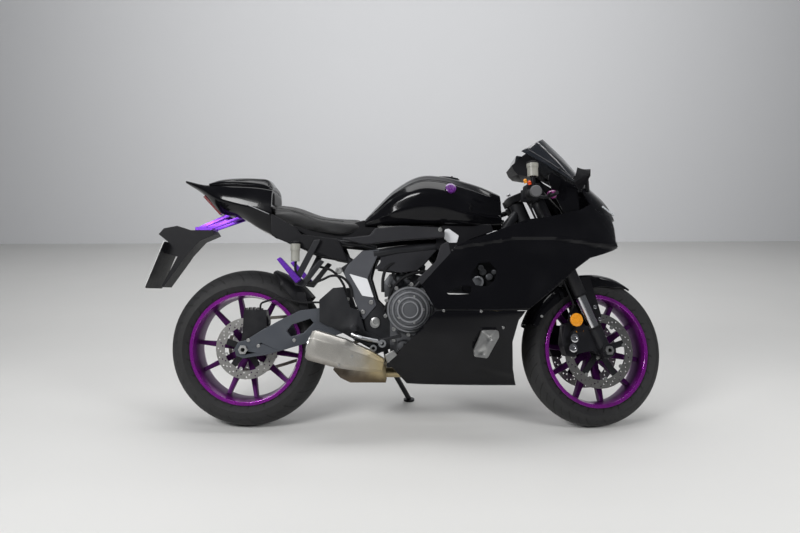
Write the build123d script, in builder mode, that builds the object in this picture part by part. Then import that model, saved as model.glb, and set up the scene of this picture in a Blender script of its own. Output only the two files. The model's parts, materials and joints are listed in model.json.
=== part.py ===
from build123d import *
import os
from math import asin, atan2, cos, degrees, radians, sin, sqrt, tan

# A sport motorcycle, parked on its side stand with its steering turned a little to the left.
# Lengths are millimetres. The bike is drawn upright: X forward, Y to its left, Z up, with the
# drawing's origin on the floor under the rear axle. The finished pieces are then leaned onto the
# stand, and the origin moves to the middle of the floor under the parked bike.

# ---------------------------------------------------------------- driving dimensions
WHEELBASE = 1395
RAKE = 23.67
FORK_OFFSET = 38
LEAN = 11
STEER = 15
STEER_LOCK = 32
FIT = 0.3
RUNNING_GAP = 6

REAR_TYRE_RADIUS = 315
REAR_TYRE_HALF = 90
REAR_CROWN = 95
REAR_BEAD_HALF = 70
FRONT_TYRE_RADIUS = 300
FRONT_TYRE_HALF = 60
FRONT_CROWN = 63
FRONT_BEAD_HALF = 44.5
BEAD_RADIUS = 216
TYRE_EDGE = 10
RIM_LIP = 10
RIM_LIP_WIDTH = 7
RIM_WALL = 13
RIM_DROP = 8
SPOKE_PAIRS = 5
SPOKE_SPREAD = 16
SPOKE_START = 46
SPOKE_ROOT = 15
SPOKE_TIP = 7.5
SPOKE_HALF_DEPTH = 13
HUB_RADIUS = 40
REAR_HUB_RIGHT = 60
FRONT_HUB_HALF = 58

AXLE_RADIUS = 12.5
AXLE_BORE = 8
NUT_RADIUS = 19
NUT_LENGTH = 8

REAR_DISC_RADIUS = 122.5
FRONT_DISC_RADIUS = 149
DISC_BAND = 34
DISC_THICKNESS = 5
DISC_ARMS = 5
DISC_ARM_WIDTH = 24
DISC_HOLE = 3.2
DISC_HOLES = 20

SPROCKET_LINE = 104
SPROCKET_THICKNESS = 6
REAR_SPROCKET_RADIUS = 103
REAR_TEETH = 42
OUTPUT_SPROCKET_RADIUS = 38
OUTPUT_SHAFT = (600, 430)
CHAIN_HALF_WIDTH = 8
CHAIN_BAND_HALF = 6
CHAIN_LINKS = 106
LINK_LENGTH = 22
LINK_HEIGHT = 10
CHAIN_HEIGHT = 13
CHAIN_GAP = 2

FORK_SPACING = 105
OUTER_TUBE_RADIUS = 27
STANCHION_RADIUS = 20.5
OUTER_TUBE_END = 235
FORK_TOP = 712
CASTING_RADIUS = 27
CASTING_TOP = 100
CASTING_FOOT = -28
CASTING_INNER = 72
FORK_EAR = 84
FORK_EAR_THICKNESS = 22
CASTING_OUTER = 136
LOWER_YOKE = 455
TOP_YOKE = 680
YOKE_THICKNESS = 28
STEM_RADIUS = 15
HEADSTOCK_RADIUS = 30
HEADSTOCK_GAP = 5
STAY_HEIGHT = 590
STAY_RADIUS = 12

BOBBIN = (70, 338)
BOBBIN_HOLE = 3.4
PIVOT = (516, 419)
PIVOT_SHAFT = 10
PIVOT_LUG = 30
LUG_SHARE = 0.8
ARM_THICKNESS = 22
RIGHT_ARM_INNER = 97
LEFT_ARM_INNER = 119
CROSSMEMBER = (335, 405)
CROSSMEMBER_HEIGHT = (386, 440)
RIGHT_PLATE_INNER = 97
LEFT_PLATE_INNER = 72
PIVOT_PLATE_THICKNESS = 16
FRAME_TUBE = 17
SUBFRAME_JOINT = 1.04
SUBFRAME_TUBE = 11
RAIL_HALF = 100

ENGINE_RIGHT = 113
ENGINE_LEFT = 88
CLUTCH = (653, 472)
CLUTCH_STEPS = ((90, 30), (78, 46), (60, 58), (36, 66))
GENERATOR = (770, 430)
GENERATOR_STEPS = ((80, 34), (62, 48), (34, 56))

# What stands on the engine's block behind its cylinders: cases across it as X, Z, how far they
# reach to each side and their radius, and the cylinders' fins.
CASTING_HALF = 62
GEARBOX_TOP = ((552, 520), (548, 580), (572, 612), (640, 618), (700, 606), (780, 600), (790, 540), (600, 530))
GEARBOX_BOLTS = ((572, 566), (600, 594), (640, 600), (690, 590), (652, 566))
ENGINE_CASES = ((604, 582, 74, 20), (652, 606, 72, 14), (700, 584, 76, 17))
BOLT_BOSS = 7
FINS = 5
FIN_HALF = 74
FIN_START = (752, 560)
FIN_LENGTH = 84
FIN_THICKNESS = 5
FIN_STEP = 12
FIN_LEAN = -12

AIRBOX_HALF = 66
INTAKE_SPACING = 36
INTAKE_RADIUS = 24

FAIRING_WALL = 3.5
BOW = 0.06
BELLY_SEAM = 470
SLIDER_FACE = 215
SLIDER_BOLT = (912, 346)
SLIDER_BOLT_RADIUS = 8
SLIDER_SPACER = 14
SLIDER_THICKNESS = 26
SLIDER_CORNER = 9
SLIDER_PLATE = ((922, 398), (982, 398), (984, 372), (940, 294), (892, 300), (890, 322))
SLIDER_RECESSES = ((948, 366), (922, 314))
COVER_FACE = 150
TAIL_PANEL_WALL = 10

STAND_PIVOT = Vector(560, 112, 245)
STAND_FOOT = (650, 287)
STAND_LEG = 11
STAND_PAD = 24
STAND_PAD_THICKNESS = 8
STAND_FOLDED = Vector(-250, 42, -40)
STAND_EYE = 18
STAND_EYE_HALF = 7
STAND_PIN = 8
STAND_LUG = 12

SIDES = {"right": -1, "left": 1}
PLATE_INNER = {"right": RIGHT_PLATE_INNER, "left": LEFT_PLATE_INNER}
ENGINE_FACE = {"right": ENGINE_RIGHT, "left": ENGINE_LEFT}
FOOTREST_FACE = {"right": 122, "left": 143}

# ---------------------------------------------------------------- where the bike stands
REAR_AXLE = Vector(0, 0, REAR_TYRE_RADIUS)
FRONT_AXLE = Vector(WHEELBASE, 0, FRONT_TYRE_RADIUS)
AXIS_UP = Vector(-sin(radians(RAKE)), 0, cos(radians(RAKE)))
AXIS_FORWARD = Vector(cos(radians(RAKE)), 0, sin(radians(RAKE)))

# The steering head's own frame: Z up the steering axis, X forward, and the front axle at
# X = FORK_OFFSET, Z = 0. The fork legs run up at that X.
HEAD = Plane(origin=FRONT_AXLE - AXIS_FORWARD * FORK_OFFSET, x_dir=AXIS_FORWARD, z_dir=AXIS_UP)
STEERED = HEAD.location * Location((0, 0, 0), (0, 0, STEER)) * HEAD.location.inverse()


def placed(location, point):
    """Where a point goes when the location moves it."""
    return (location * Location(point)).position


def tyre_height(location, axle, radius, crown):
    """The height of a leaning tyre's lowest point, its tread being an arc across the wheel."""
    centre = placed(location, axle)
    side = placed(location, axle + Vector(0, 1, 0)) - centre
    return centre.Z - (radius - crown) * sqrt(1 - side.Z**2) - crown


def leaned(pitch, lift):
    """The parked pose for a nose-down pitch in degrees and a lift."""
    return Location((0, 0, lift)) * Location((0, 0, 0), (-LEAN, 0, 0)) * Location((0, 0, 0), (0, pitch, 0))


def rest_on_floor():
    """The pose that puts both tyres on the floor."""
    pitch = 0
    lift = 0
    for _ in range(6):
        rear = tyre_height(leaned(pitch, lift), REAR_AXLE, REAR_TYRE_RADIUS, REAR_CROWN)
        front_pose = leaned(pitch, lift) * STEERED
        front = tyre_height(front_pose, FRONT_AXLE, FRONT_TYRE_RADIUS, FRONT_CROWN)
        pitch += degrees(atan2(front - rear, WHEELBASE))
        lift -= rear
    return leaned(pitch, lift)


PARKED = rest_on_floor()
TO_BIKE = PARKED.inverse()

# The stand's sole lies on the floor under the parked bike.
SOLE = Plane(TO_BIKE * Location(STAND_FOOT + (0,)))
FOOT = SOLE.origin
STAND_AXIS = (FOOT - STAND_PIVOT).cross(STAND_FOLDED).normalized()

# ---------------------------------------------------------------- side outlines, as (X, Z)
RIGHT_ARM = (
    (-36, 318), (-20, 345), (10, 352), (72, 391), (143, 430), (221, 468), (300, 478), (405, 462),
    (405, 384), (300, 352), (222, 333), (144, 309), (89, 294), (0, 281), (-28, 290),
)
RIGHT_ARM_WINDOW = ((170, 388), (190, 412), (262, 436), (276, 420), (236, 380), (186, 366))
LEFT_ARM = ((-36, 318), (-20, 345), (10, 352), (300, 450), (405, 458), (405, 384), (0, 281), (-28, 290))
PIVOT_PLATE = (
    (381, 635), (416, 659), (475, 702), (523, 706), (505, 635), (497, 596), (523, 509), (575, 455),
    (575, 318), (520, 296), (486, 330), (474, 440), (456, 470), (424, 556),
)
ENGINE = (
    (575, 300), (640, 262), (860, 262), (925, 330), (930, 430), (985, 640), (915, 690), (812, 672),
    (775, 560), (600, 548), (575, 470),
)
AIRBOX = ((535, 690), (740, 725), (838, 752), (900, 740), (820, 700), (700, 690), (640, 622), (536, 634))
SIDE_COVER = (
    (378, 749), (496, 761), (516, 788), (614, 798), (771, 792), (789, 768), (787, 750), (614, 741),
    (476, 725),
)
TAIL_PANEL = (
    (106, 850), (150, 826), (202, 796), (224, 768), (369, 750), (385, 722), (410, 660), (345, 672),
    (290, 694), (210, 718), (133, 750), (106, 765),
)
HEEL_PLATE = (
    (500, 320), (548, 322), (548, 352), (520, 372), (478, 388), (452, 470), (420, 480), (392, 560),
    (352, 556), (299, 509), (300, 424), (360, 398), (440, 354),
)
SIDE_FAIRING = (
    (690, 577), (760, 650), (832, 719), (919, 749), (995, 776), (1094, 814), (1171, 822), (1307, 855),
    (1357, 882), (1416, 797), (1479, 721), (1459, 705), (1397, 685), (1342, 670), (1287, 632),
    (1190, 548), (1095, BELLY_SEAM), (752, BELLY_SEAM),
)
BELLY_PAN = (
    (748, BELLY_SEAM), (1088, BELLY_SEAM), (1061, 434), (1040, 352), (1048, 246), (1068, 168),
    (778, 168), (755, 168), (640, 168), (590, 240), (563, 266), (589, 292), (675, 382),
)
FAIRING_VENT = ((790, 538), (860, 566), (884, 560), (880, 534), (802, 528))

# Half-widths of the fairing at each level, station by station along X.
FAIRING_LEVELS = (174, 250, 360, BELLY_SEAM, 600, 740, 890)
FAIRING_STATIONS = (
    (540, (60, 116, 158, 178, 186, 190, 186)),
    (720, (86, 152, 196, 212, 208, 205, 196)),
    (900, (96, 164, 208, 226, 220, 224, 200)),
    (1060, (92, 156, 202, 226, 226, 240, 212)),
    (1200, (80, 136, 178, 208, 222, 238, 210)),
    (1330, (60, 110, 140, 170, 180, 196, 168)),
    (1430, (40, 70, 90, 110, 118, 134, 104)),
    (1500, (20, 30, 40, 50, 56, 64, 40)),
)

# Tank: station X, then (half-width, Z) of the top edge, the crease and the base.
TANK_STATIONS = (
    (474, (36, 840), (80, 822), (84, 804)),
    (520, (48, 888), (96, 852), (98, 804)),
    (590, (62, 955), (132, 900), (112, 804)),
    (690, (74, 1008), (170, 935), (130, 804)),
    (790, (78, 1006), (178, 925), (142, 804)),
    (880, (66, 986), (136, 900), (140, 800)),
    (950, (50, 966), (98, 880), (112, 796)),
    (1020, (36, 936), (68, 866), (84, 804)),
)
# Seat: station X, then (half-width, Z) of the crown, the shoulder and the base.
SEAT_STATIONS = (
    (104.3, (70, 893), (98, 878), (100, 832)),
    (200, (88, 878), (118, 860), (106, 806)),
    (300, (92, 843), (122, 828), (108, 782)),
    (390, (76, 833), (104, 820), (104, 772)),
    (468, (44, 834), (66, 824), (74, 798)),
)
# Tail cowl: station X, then (half-width, Z) of the top edge, the side crease and the underside.
TAIL_STATIONS = (
    (-273, (6, 1001), (9, 997), (6, 992)),
    (-188, (50, 978), (60, 955), (30, 936)),
    (-119, (74, 972), (95, 915), (36, 862)),
    (-33, (90, 966), (112, 885), (46, 842)),
    (44, (95, 960), (118, 870), (62, 797)),
    (104, (97, 950), (121, 852), (84, 766)),
)
# Seat hump: station X, then (half-width, height over the tail) of the top edge, the crease and the base.
HUMP_STATIONS = (
    (-160, (30, 10), (60, 5), (62, 0)),
    (-119, (42, 27), (74, 12), (76, 0)),
    (-33, (54, 38), (86, 17), (88, 0)),
    (44, (58, 41), (90, 15), (92, 0)),
    (80, (56, 41), (91, 12), (93, 0)),
    (104, (54, 16), (90, 3), (94, 0)),
)
# Nose cowl: level Z, then the front edge's X, the side edge's X and the side edge's half-width.
NOSE_LEVELS = (
    (716, 1500, 1478, 62),
    (787, 1500, 1424, 98),
    (836, 1488, 1391, 116),
    (878, 1468, 1360, 130),
    (919, 1436, 1338, 134),
    (961, 1390, 1320, 126),
)
NOSE_BRIDGE = 16
INTAKE_HALF = 42
INTAKE = (742, 830)
# Windscreen: (X, Z) of its middle line, and (X, half-width, Z) of its side edge, bottom to top.
SCREEN_MIDDLE = ((1384, 961), (1290, 1079), (1204, 1169))
SCREEN_SIDE = ((1322, 120, 961), (1196, 134, 1036), (1092, 126, 1096))
SCREEN_SHAPE = ((1, 0), (0.74, 0.5), (0.34, 0.9), (0, 1))
SCREEN_WALL = 3

pieces = {}


# ---------------------------------------------------------------- shared shapes
def rod(start, end, radius, mode=Mode.ADD):
    """A round bar between two points."""
    run = Vector(*end) - Vector(*start)
    with Locations(Plane(origin=start, z_dir=run)):
        Cylinder(radius, run.length, align=(Align.CENTER, Align.CENTER, Align.MIN), mode=mode)


def tube_run(points, radius, swell=1):
    """Round bars from point to point, with a ball at each bend that may be a little larger."""
    for start, end in zip(points, points[1:]):
        rod(start, end, radius)
    for bend in points[1:-1]:
        with Locations(bend):
            Sphere(radius * swell)


def wheel_plane(axle, turn=0):
    """A section through the wheel, turn degrees forward of upright: X across it, Y out from the axle."""
    return Plane(origin=axle, x_dir=(0, 1, 0), z_dir=(cos(radians(turn)), 0, -sin(radians(turn))))


def side_plane(axle, across):
    """The wheel's own plane at a place across it: local X forward and local Y up."""
    return Plane(origin=axle + Vector(0, across, 0), x_dir=(1, 0, 0), z_dir=(0, -1, 0))


def seen_from_side(across):
    """A vertical plane along the bike at a place across it."""
    return Plane.XZ.offset(-across)


def ring_section(rows):
    """A closed section, mirrored about the middle, from rows of (half-width, Z), top to bottom."""
    left = [(half, z) for half, z in rows]
    right = [(-half, z) for half, z in reversed(rows)]
    return left + right


def bowed(start, end, share):
    """A line from start to end, or an arc that bows by a share of its length."""
    if share:
        run = Vector(end[0] - start[0], end[1] - start[1], 0)
        middle = ((start[0] + end[0]) / 2 - run.Y * share, (start[1] + end[1]) / 2 + run.X * share)
        ThreePointArc(start, middle, end)
    else:
        Line(start, end)


def make_hull(stations, bow=0):
    """A solid body lofted through stations of (X, row, row, ...), one row per edge."""
    with BuildPart() as hull:
        for x, *rows in stations:
            corners = ring_section(rows)
            with BuildSketch(Plane.YZ.offset(x)):
                with BuildLine():
                    for start, end in zip(corners, corners[1:]):
                        bowed(start, end, bow)
                    Line(corners[-1], corners[0])
                make_face()
        loft(ruled=bow == 0)
    return hull


# ---------------------------------------------------------------- wheels
def make_tyre(axle, radius, half, crown, bead_half):
    shoulder = radius - crown + sqrt(crown**2 - half**2)
    bead_edge = BEAD_RADIUS + TYRE_EDGE
    with BuildPart() as tyre:
        with BuildSketch(wheel_plane(axle)):
            with BuildLine():
                ThreePointArc((-half, shoulder), (0, radius), (half, shoulder))
                Polyline(
                    (half, shoulder), (bead_half, bead_edge), (bead_half, BEAD_RADIUS),
                    (-bead_half, BEAD_RADIUS), (-bead_half, bead_edge), (-half, shoulder),
                )
            make_face()
        revolve(axis=Axis(axle, (0, 1, 0)))
    return tyre


def make_rim(axle, bead_half, hub_right, hub_left):
    seat = BEAD_RADIUS - FIT
    lip_in = bead_half + FIT
    lip_out = lip_in + RIM_LIP_WIDTH
    lip_top = BEAD_RADIUS + RIM_LIP
    inner = seat - RIM_WALL
    with BuildPart() as rim:
        with BuildSketch(wheel_plane(axle)):
            with BuildLine():
                Polyline(
                    (-lip_out, lip_top), (-lip_in, lip_top), (-lip_in, seat), (lip_in, seat),
                    (lip_in, lip_top), (lip_out, lip_top), (lip_out, seat - RIM_DROP / 2),
                    (bead_half * 0.5, inner), (-bead_half * 0.5, inner), (-lip_out, seat - RIM_DROP / 2),
                    close=True,
                )
            make_face()
        revolve(axis=Axis(axle, (0, 1, 0)))
        with BuildSketch(side_plane(axle, 0)):
            for lead in (-SPOKE_SPREAD, SPOKE_SPREAD):
                with PolarLocations(0, SPOKE_PAIRS, start_angle=SPOKE_START + lead):
                    Polygon(
                        (HUB_RADIUS - RIM_WALL, -SPOKE_ROOT), (inner + RIM_WALL / 2, -SPOKE_TIP),
                        (inner + RIM_WALL / 2, SPOKE_TIP), (HUB_RADIUS - RIM_WALL, SPOKE_ROOT),
                        align=None,
                    )
        extrude(amount=SPOKE_HALF_DEPTH, both=True)
        with BuildSketch(side_plane(axle, -hub_right)):
            Circle(HUB_RADIUS)
        extrude(amount=-(hub_right + hub_left))
        with BuildSketch(side_plane(axle, -hub_right)):
            Circle(AXLE_RADIUS + FIT)
        extrude(amount=-(hub_right + hub_left), mode=Mode.SUBTRACT)
    return rim


def make_disc(axle, radius, across, outward):
    """A drilled brake disc on its carrier arms, lying outward from a place across the wheel."""
    arm_length = radius - DISC_BAND / 2
    with BuildPart() as disc:
        with BuildSketch(side_plane(axle, across)):
            Circle(radius)
            Circle(radius - DISC_BAND, mode=Mode.SUBTRACT)
            with PolarLocations(arm_length / 2, DISC_ARMS, start_angle=SPOKE_SPREAD):
                Rectangle(arm_length, DISC_ARM_WIDTH)
            Circle(HUB_RADIUS)
            Circle(AXLE_RADIUS * 1.8, mode=Mode.SUBTRACT)
            for ring, turn in ((0.25, 0), (0.5, 1), (0.75, 2)):
                step = 360 / DISC_HOLES / 3
                with PolarLocations(radius - DISC_BAND * ring, DISC_HOLES, start_angle=turn * step):
                    Circle(DISC_HOLE, mode=Mode.SUBTRACT)
        extrude(amount=-outward * DISC_THICKNESS)
    return disc


pieces["rear_tyre"] = make_tyre(REAR_AXLE, REAR_TYRE_RADIUS, REAR_TYRE_HALF, REAR_CROWN, REAR_BEAD_HALF)
REAR_HUB_LEFT = SPROCKET_LINE - SPROCKET_THICKNESS / 2
pieces["rear_rim"] = make_rim(REAR_AXLE, REAR_BEAD_HALF, REAR_HUB_RIGHT, REAR_HUB_LEFT)
pieces["rear_disc"] = make_disc(REAR_AXLE, REAR_DISC_RADIUS, -REAR_HUB_RIGHT, -1)
pieces["front_tyre"] = make_tyre(FRONT_AXLE, FRONT_TYRE_RADIUS, FRONT_TYRE_HALF, FRONT_CROWN, FRONT_BEAD_HALF)
pieces["front_rim"] = make_rim(FRONT_AXLE, FRONT_BEAD_HALF, FRONT_HUB_HALF, FRONT_HUB_HALF)
with BuildPart() as front_discs:
    for sign in SIDES.values():
        add(make_disc(FRONT_AXLE, FRONT_DISC_RADIUS, sign * FRONT_HUB_HALF, sign).part)
pieces["front_discs"] = front_discs

with BuildPart() as rear_sprocket:
    with BuildSketch(side_plane(REAR_AXLE, SPROCKET_LINE - SPROCKET_THICKNESS / 2)):
        Circle(REAR_SPROCKET_RADIUS)
        Circle(AXLE_RADIUS * 1.8, mode=Mode.SUBTRACT)
        with PolarLocations(REAR_SPROCKET_RADIUS, REAR_TEETH):
            Circle(3.4, mode=Mode.SUBTRACT)
        with PolarLocations(REAR_SPROCKET_RADIUS * 0.68, 5):
            Circle(17, mode=Mode.SUBTRACT)
    extrude(amount=-SPROCKET_THICKNESS)
pieces["rear_sprocket"] = rear_sprocket


def make_axle(axle, right, left):
    """A hollow axle clamped between two nuts, whose inner faces lie right and left of the middle."""
    with BuildPart() as shaft:
        with BuildSketch(side_plane(axle, -right)):
            Circle(AXLE_RADIUS)
        extrude(amount=-(right + left))
        for across in (-right, left):
            with BuildSketch(side_plane(axle, across)):
                RegularPolygon(NUT_RADIUS, 6)
            extrude(amount=NUT_LENGTH if across < 0 else -NUT_LENGTH)
        with BuildSketch(side_plane(axle, -right - NUT_LENGTH)):
            Circle(AXLE_BORE)
        extrude(amount=-(right + left + 2 * NUT_LENGTH), mode=Mode.SUBTRACT)
    return shaft


pieces["rear_axle"] = make_axle(REAR_AXLE, RIGHT_ARM_INNER + ARM_THICKNESS, LEFT_ARM_INNER + ARM_THICKNESS)
pieces["front_axle"] = make_axle(FRONT_AXLE, CASTING_OUTER, CASTING_OUTER)


# ---------------------------------------------------------------- swingarm, chain and rear brake
def make_swingarm():
    with BuildPart() as swingarm:
        with BuildSketch(seen_from_side(-RIGHT_ARM_INNER)):
            Polygon(*RIGHT_ARM, align=None)
            Polygon(*RIGHT_ARM_WINDOW, align=None, mode=Mode.SUBTRACT)
            with Locations(BOBBIN):
                Circle(BOBBIN_HOLE, mode=Mode.SUBTRACT)
        extrude(amount=ARM_THICKNESS)
        with BuildSketch(seen_from_side(LEFT_ARM_INNER)):
            Polygon(*LEFT_ARM, align=None)
            with Locations(BOBBIN):
                Circle(BOBBIN_HOLE, mode=Mode.SUBTRACT)
        extrude(amount=-ARM_THICKNESS)
        beam_middle = sum(CROSSMEMBER_HEIGHT) / 2
        beam_height = CROSSMEMBER_HEIGHT[1] - CROSSMEMBER_HEIGHT[0]
        beam_length = CROSSMEMBER[1] - CROSSMEMBER[0]
        with Locations((sum(CROSSMEMBER) / 2, (LEFT_ARM_INNER - RIGHT_ARM_INNER) / 2, beam_middle)):
            Box(beam_length, RIGHT_ARM_INNER + LEFT_ARM_INNER + ARM_THICKNESS, beam_height)
        for side, sign in SIDES.items():
            lug_outer = sign * (PLATE_INNER[side] - FIT)
            lug_inner = lug_outer - sign * ARM_THICKNESS
            lug_length = PIVOT[0] - CROSSMEMBER[1]
            with Locations((CROSSMEMBER[1] + lug_length / 2, (lug_outer + lug_inner) / 2, beam_middle)):
                Box(lug_length, ARM_THICKNESS, beam_height * LUG_SHARE)
            rod((PIVOT[0], lug_inner, PIVOT[1]), (PIVOT[0], lug_outer, PIVOT[1]), PIVOT_LUG)
        reach = RIGHT_PLATE_INNER
        rod((PIVOT[0], -reach, PIVOT[1]), (PIVOT[0], reach, PIVOT[1]), PIVOT_SHAFT + FIT, Mode.SUBTRACT)
        reach = LEFT_ARM_INNER + ARM_THICKNESS
        rod((0, -reach, REAR_TYRE_RADIUS), (0, reach, REAR_TYRE_RADIUS), AXLE_RADIUS + FIT, Mode.SUBTRACT)
    return swingarm


def chain_side(centre, radius, tangent):
    """The point of a sprocket's circle where the chain meets it, tangent degrees from forward."""
    return (centre[0] + radius * cos(radians(tangent)), centre[1] + radius * sin(radians(tangent)))


def chain_loop(grow):
    """The chain's path round both sprockets, grow outside the line that clears them."""
    rear = (0, REAR_TYRE_RADIUS)
    reach = Vector(OUTPUT_SHAFT[0] - rear[0], OUTPUT_SHAFT[1] - rear[1], 0)
    slope = degrees(atan2(reach.Y, reach.X))
    big = REAR_SPROCKET_RADIUS + CHAIN_GAP + grow
    small = OUTPUT_SPROCKET_RADIUS + FIT + grow
    open_angle = degrees(asin((big - small) / reach.length))
    top = slope + 90 - open_angle
    bottom = slope - 90 + open_angle
    rear_top = chain_side(rear, big, top)
    rear_bottom = chain_side(rear, big, bottom)
    front_top = chain_side(OUTPUT_SHAFT, small, top)
    front_bottom = chain_side(OUTPUT_SHAFT, small, bottom)
    Line(rear_top, front_top)
    ThreePointArc(front_top, chain_side(OUTPUT_SHAFT, small, slope), front_bottom)
    Line(front_bottom, rear_bottom)
    ThreePointArc(rear_bottom, chain_side(rear, big, slope + 180), rear_top)


pieces["swingarm"] = make_swingarm()

with BuildLine(Plane.XZ) as chain_path:
    chain_loop(CHAIN_HEIGHT / 2)
CHAIN_WIRE = chain_path.wire()


def link_places():
    """Every second link along the chain: the place of its middle, and its slope in degrees."""
    for link in range(0, CHAIN_LINKS, 2):
        share = link / CHAIN_LINKS
        middle = CHAIN_WIRE @ share
        run = CHAIN_WIRE % share
        yield (middle.X, middle.Z), degrees(atan2(run.Z, run.X))


with BuildPart() as chain:
    with BuildSketch(seen_from_side(SPROCKET_LINE - CHAIN_BAND_HALF)):
        with BuildLine():
            chain_loop(CHAIN_HEIGHT)
        make_face()
        with BuildLine():
            chain_loop(0)
        make_face(mode=Mode.SUBTRACT)
    extrude(amount=-2 * CHAIN_BAND_HALF)
    for sign in SIDES.values():
        with BuildSketch(seen_from_side(SPROCKET_LINE + sign * CHAIN_BAND_HALF)):
            for middle, slope in link_places():
                with Locations(Location((*middle, 0), (0, 0, slope))):
                    Rectangle(LINK_LENGTH, LINK_HEIGHT)
        extrude(amount=-sign * (CHAIN_HALF_WIDTH - CHAIN_BAND_HALF))
pieces["chain"] = chain

with BuildPart() as output_sprocket:
    with BuildSketch(seen_from_side(ENGINE_LEFT)):
        with Locations(OUTPUT_SHAFT):
            Circle(OUTPUT_SPROCKET_RADIUS * 0.6)
    extrude(amount=-(SPROCKET_LINE + CHAIN_HALF_WIDTH - ENGINE_LEFT))
    with BuildSketch(seen_from_side(SPROCKET_LINE - SPROCKET_THICKNESS / 2)):
        with Locations(OUTPUT_SHAFT):
            Circle(OUTPUT_SPROCKET_RADIUS)
    extrude(amount=-SPROCKET_THICKNESS)
pieces["output_sprocket"] = output_sprocket

CALIPER_BRACKET = ((-14, 338), (-8, 392), (-4, 470), (84, 470), (88, 384), (26, 352), (26, 300), (-14, 296))
CALIPER_BODY = ((-2, 430), (-2, 468), (82, 468), (86, 430))
CALIPER_INNER = REAR_HUB_RIGHT - 16
CALIPER_DEPTH = 40
with BuildPart() as rear_caliper:
    disc_face = REAR_HUB_RIGHT + DISC_THICKNESS
    with BuildSketch(seen_from_side(-disc_face - RUNNING_GAP)):
        Polygon(*CALIPER_BRACKET, align=None)
        with Locations((0, REAR_TYRE_RADIUS)):
            Circle(AXLE_RADIUS + FIT, mode=Mode.SUBTRACT)
    extrude(amount=RIGHT_ARM_INNER - disc_face - RUNNING_GAP)
    with BuildSketch(seen_from_side(-CALIPER_INNER)):
        Polygon(*CALIPER_BODY, align=None)
    extrude(amount=CALIPER_DEPTH)
    rod((0, -disc_face - RUNNING_GAP, REAR_TYRE_RADIUS), (0, -REAR_HUB_RIGHT + RUNNING_GAP, REAR_TYRE_RADIUS),
        REAR_DISC_RADIUS + RUNNING_GAP, Mode.SUBTRACT)
pieces["rear_caliper"] = rear_caliper

# ---------------------------------------------------------------- frame, subframe and engine
with BuildPart() as main_frame:
    head_low = HEAD.from_local_coords((0, 0, LOWER_YOKE + YOKE_THICKNESS + HEADSTOCK_GAP))
    head_high = HEAD.from_local_coords((0, 0, TOP_YOKE - HEADSTOCK_GAP))
    rod(head_low, head_high, HEADSTOCK_RADIUS)
    for side, sign in SIDES.items():
        plate_middle = sign * (PLATE_INNER[side] + PIVOT_PLATE_THICKNESS / 2)
        knee = (835, sign * 94, 728)
        upper_run = ((1010, sign * 70, 758), knee, (600, sign * 96, 705), (510, plate_middle, 690))
        lower_run = ((1040, sign * 64, 696), knee, (670, sign * 94, 552))
        tube_run((head_high - AXIS_UP * 30, *upper_run), FRAME_TUBE)
        tube_run((head_low + AXIS_UP * 24, *lower_run), FRAME_TUBE * 0.85)
        with BuildSketch(seen_from_side(sign * PLATE_INNER[side])):
            Polygon(*PIVOT_PLATE, align=None)
        extrude(amount=-sign * PIVOT_PLATE_THICKNESS)
    for x, z in ((540, 320), (470, 672)):
        rod((x, -RIGHT_PLATE_INNER, z), (x, LEFT_PLATE_INNER, z), FRAME_TUBE * 0.8)
    lug_face = STAND_PIVOT - STAND_AXIS * (STAND_EYE_HALF + FIT)
    lug_back = lug_face - STAND_AXIS * STAND_LUG
    rod(lug_back, lug_face, STAND_EYE)
    rod((lug_face + lug_back) / 2, (548, LEFT_PLATE_INNER + PIVOT_PLATE_THICKNESS / 2, 318), STAND_LUG * 0.9)
    pin_head = STAND_PIVOT + STAND_AXIS * (STAND_EYE_HALF + FIT)
    rod(lug_face, pin_head + STAND_AXIS * STAND_EYE, STAND_EYE + 8, Mode.SUBTRACT)
    rod(lug_face, pin_head, STAND_PIN)
    rod(pin_head, pin_head + STAND_AXIS * 4, STAND_PIN * 1.5)
    with BuildSketch(seen_from_side(-ENGINE_RIGHT)):
        Polygon(*ENGINE, align=None)
    extrude(amount=-(ENGINE_RIGHT + ENGINE_LEFT), mode=Mode.SUBTRACT)
    rod(head_low - AXIS_UP, head_high + AXIS_UP, STEM_RADIUS + FIT, Mode.SUBTRACT)
    reach = RIGHT_PLATE_INNER + PIVOT_PLATE_THICKNESS
    rod((PIVOT[0], -reach, PIVOT[1]), (PIVOT[0], reach, PIVOT[1]), PIVOT_SHAFT + FIT, Mode.SUBTRACT)
pieces["main_frame"] = main_frame

with BuildPart() as pivot_shaft:
    ends = {side: sign * (PLATE_INNER[side] + PIVOT_PLATE_THICKNESS) for side, sign in SIDES.items()}
    rod((PIVOT[0], ends["right"], PIVOT[1]), (PIVOT[0], ends["left"], PIVOT[1]), PIVOT_SHAFT)
    for side, sign in SIDES.items():
        rod((PIVOT[0], ends[side], PIVOT[1]), (PIVOT[0], ends[side] + sign * 6, PIVOT[1]), PIVOT_SHAFT * 1.9)
pieces["pivot_shaft"] = pivot_shaft

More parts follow.
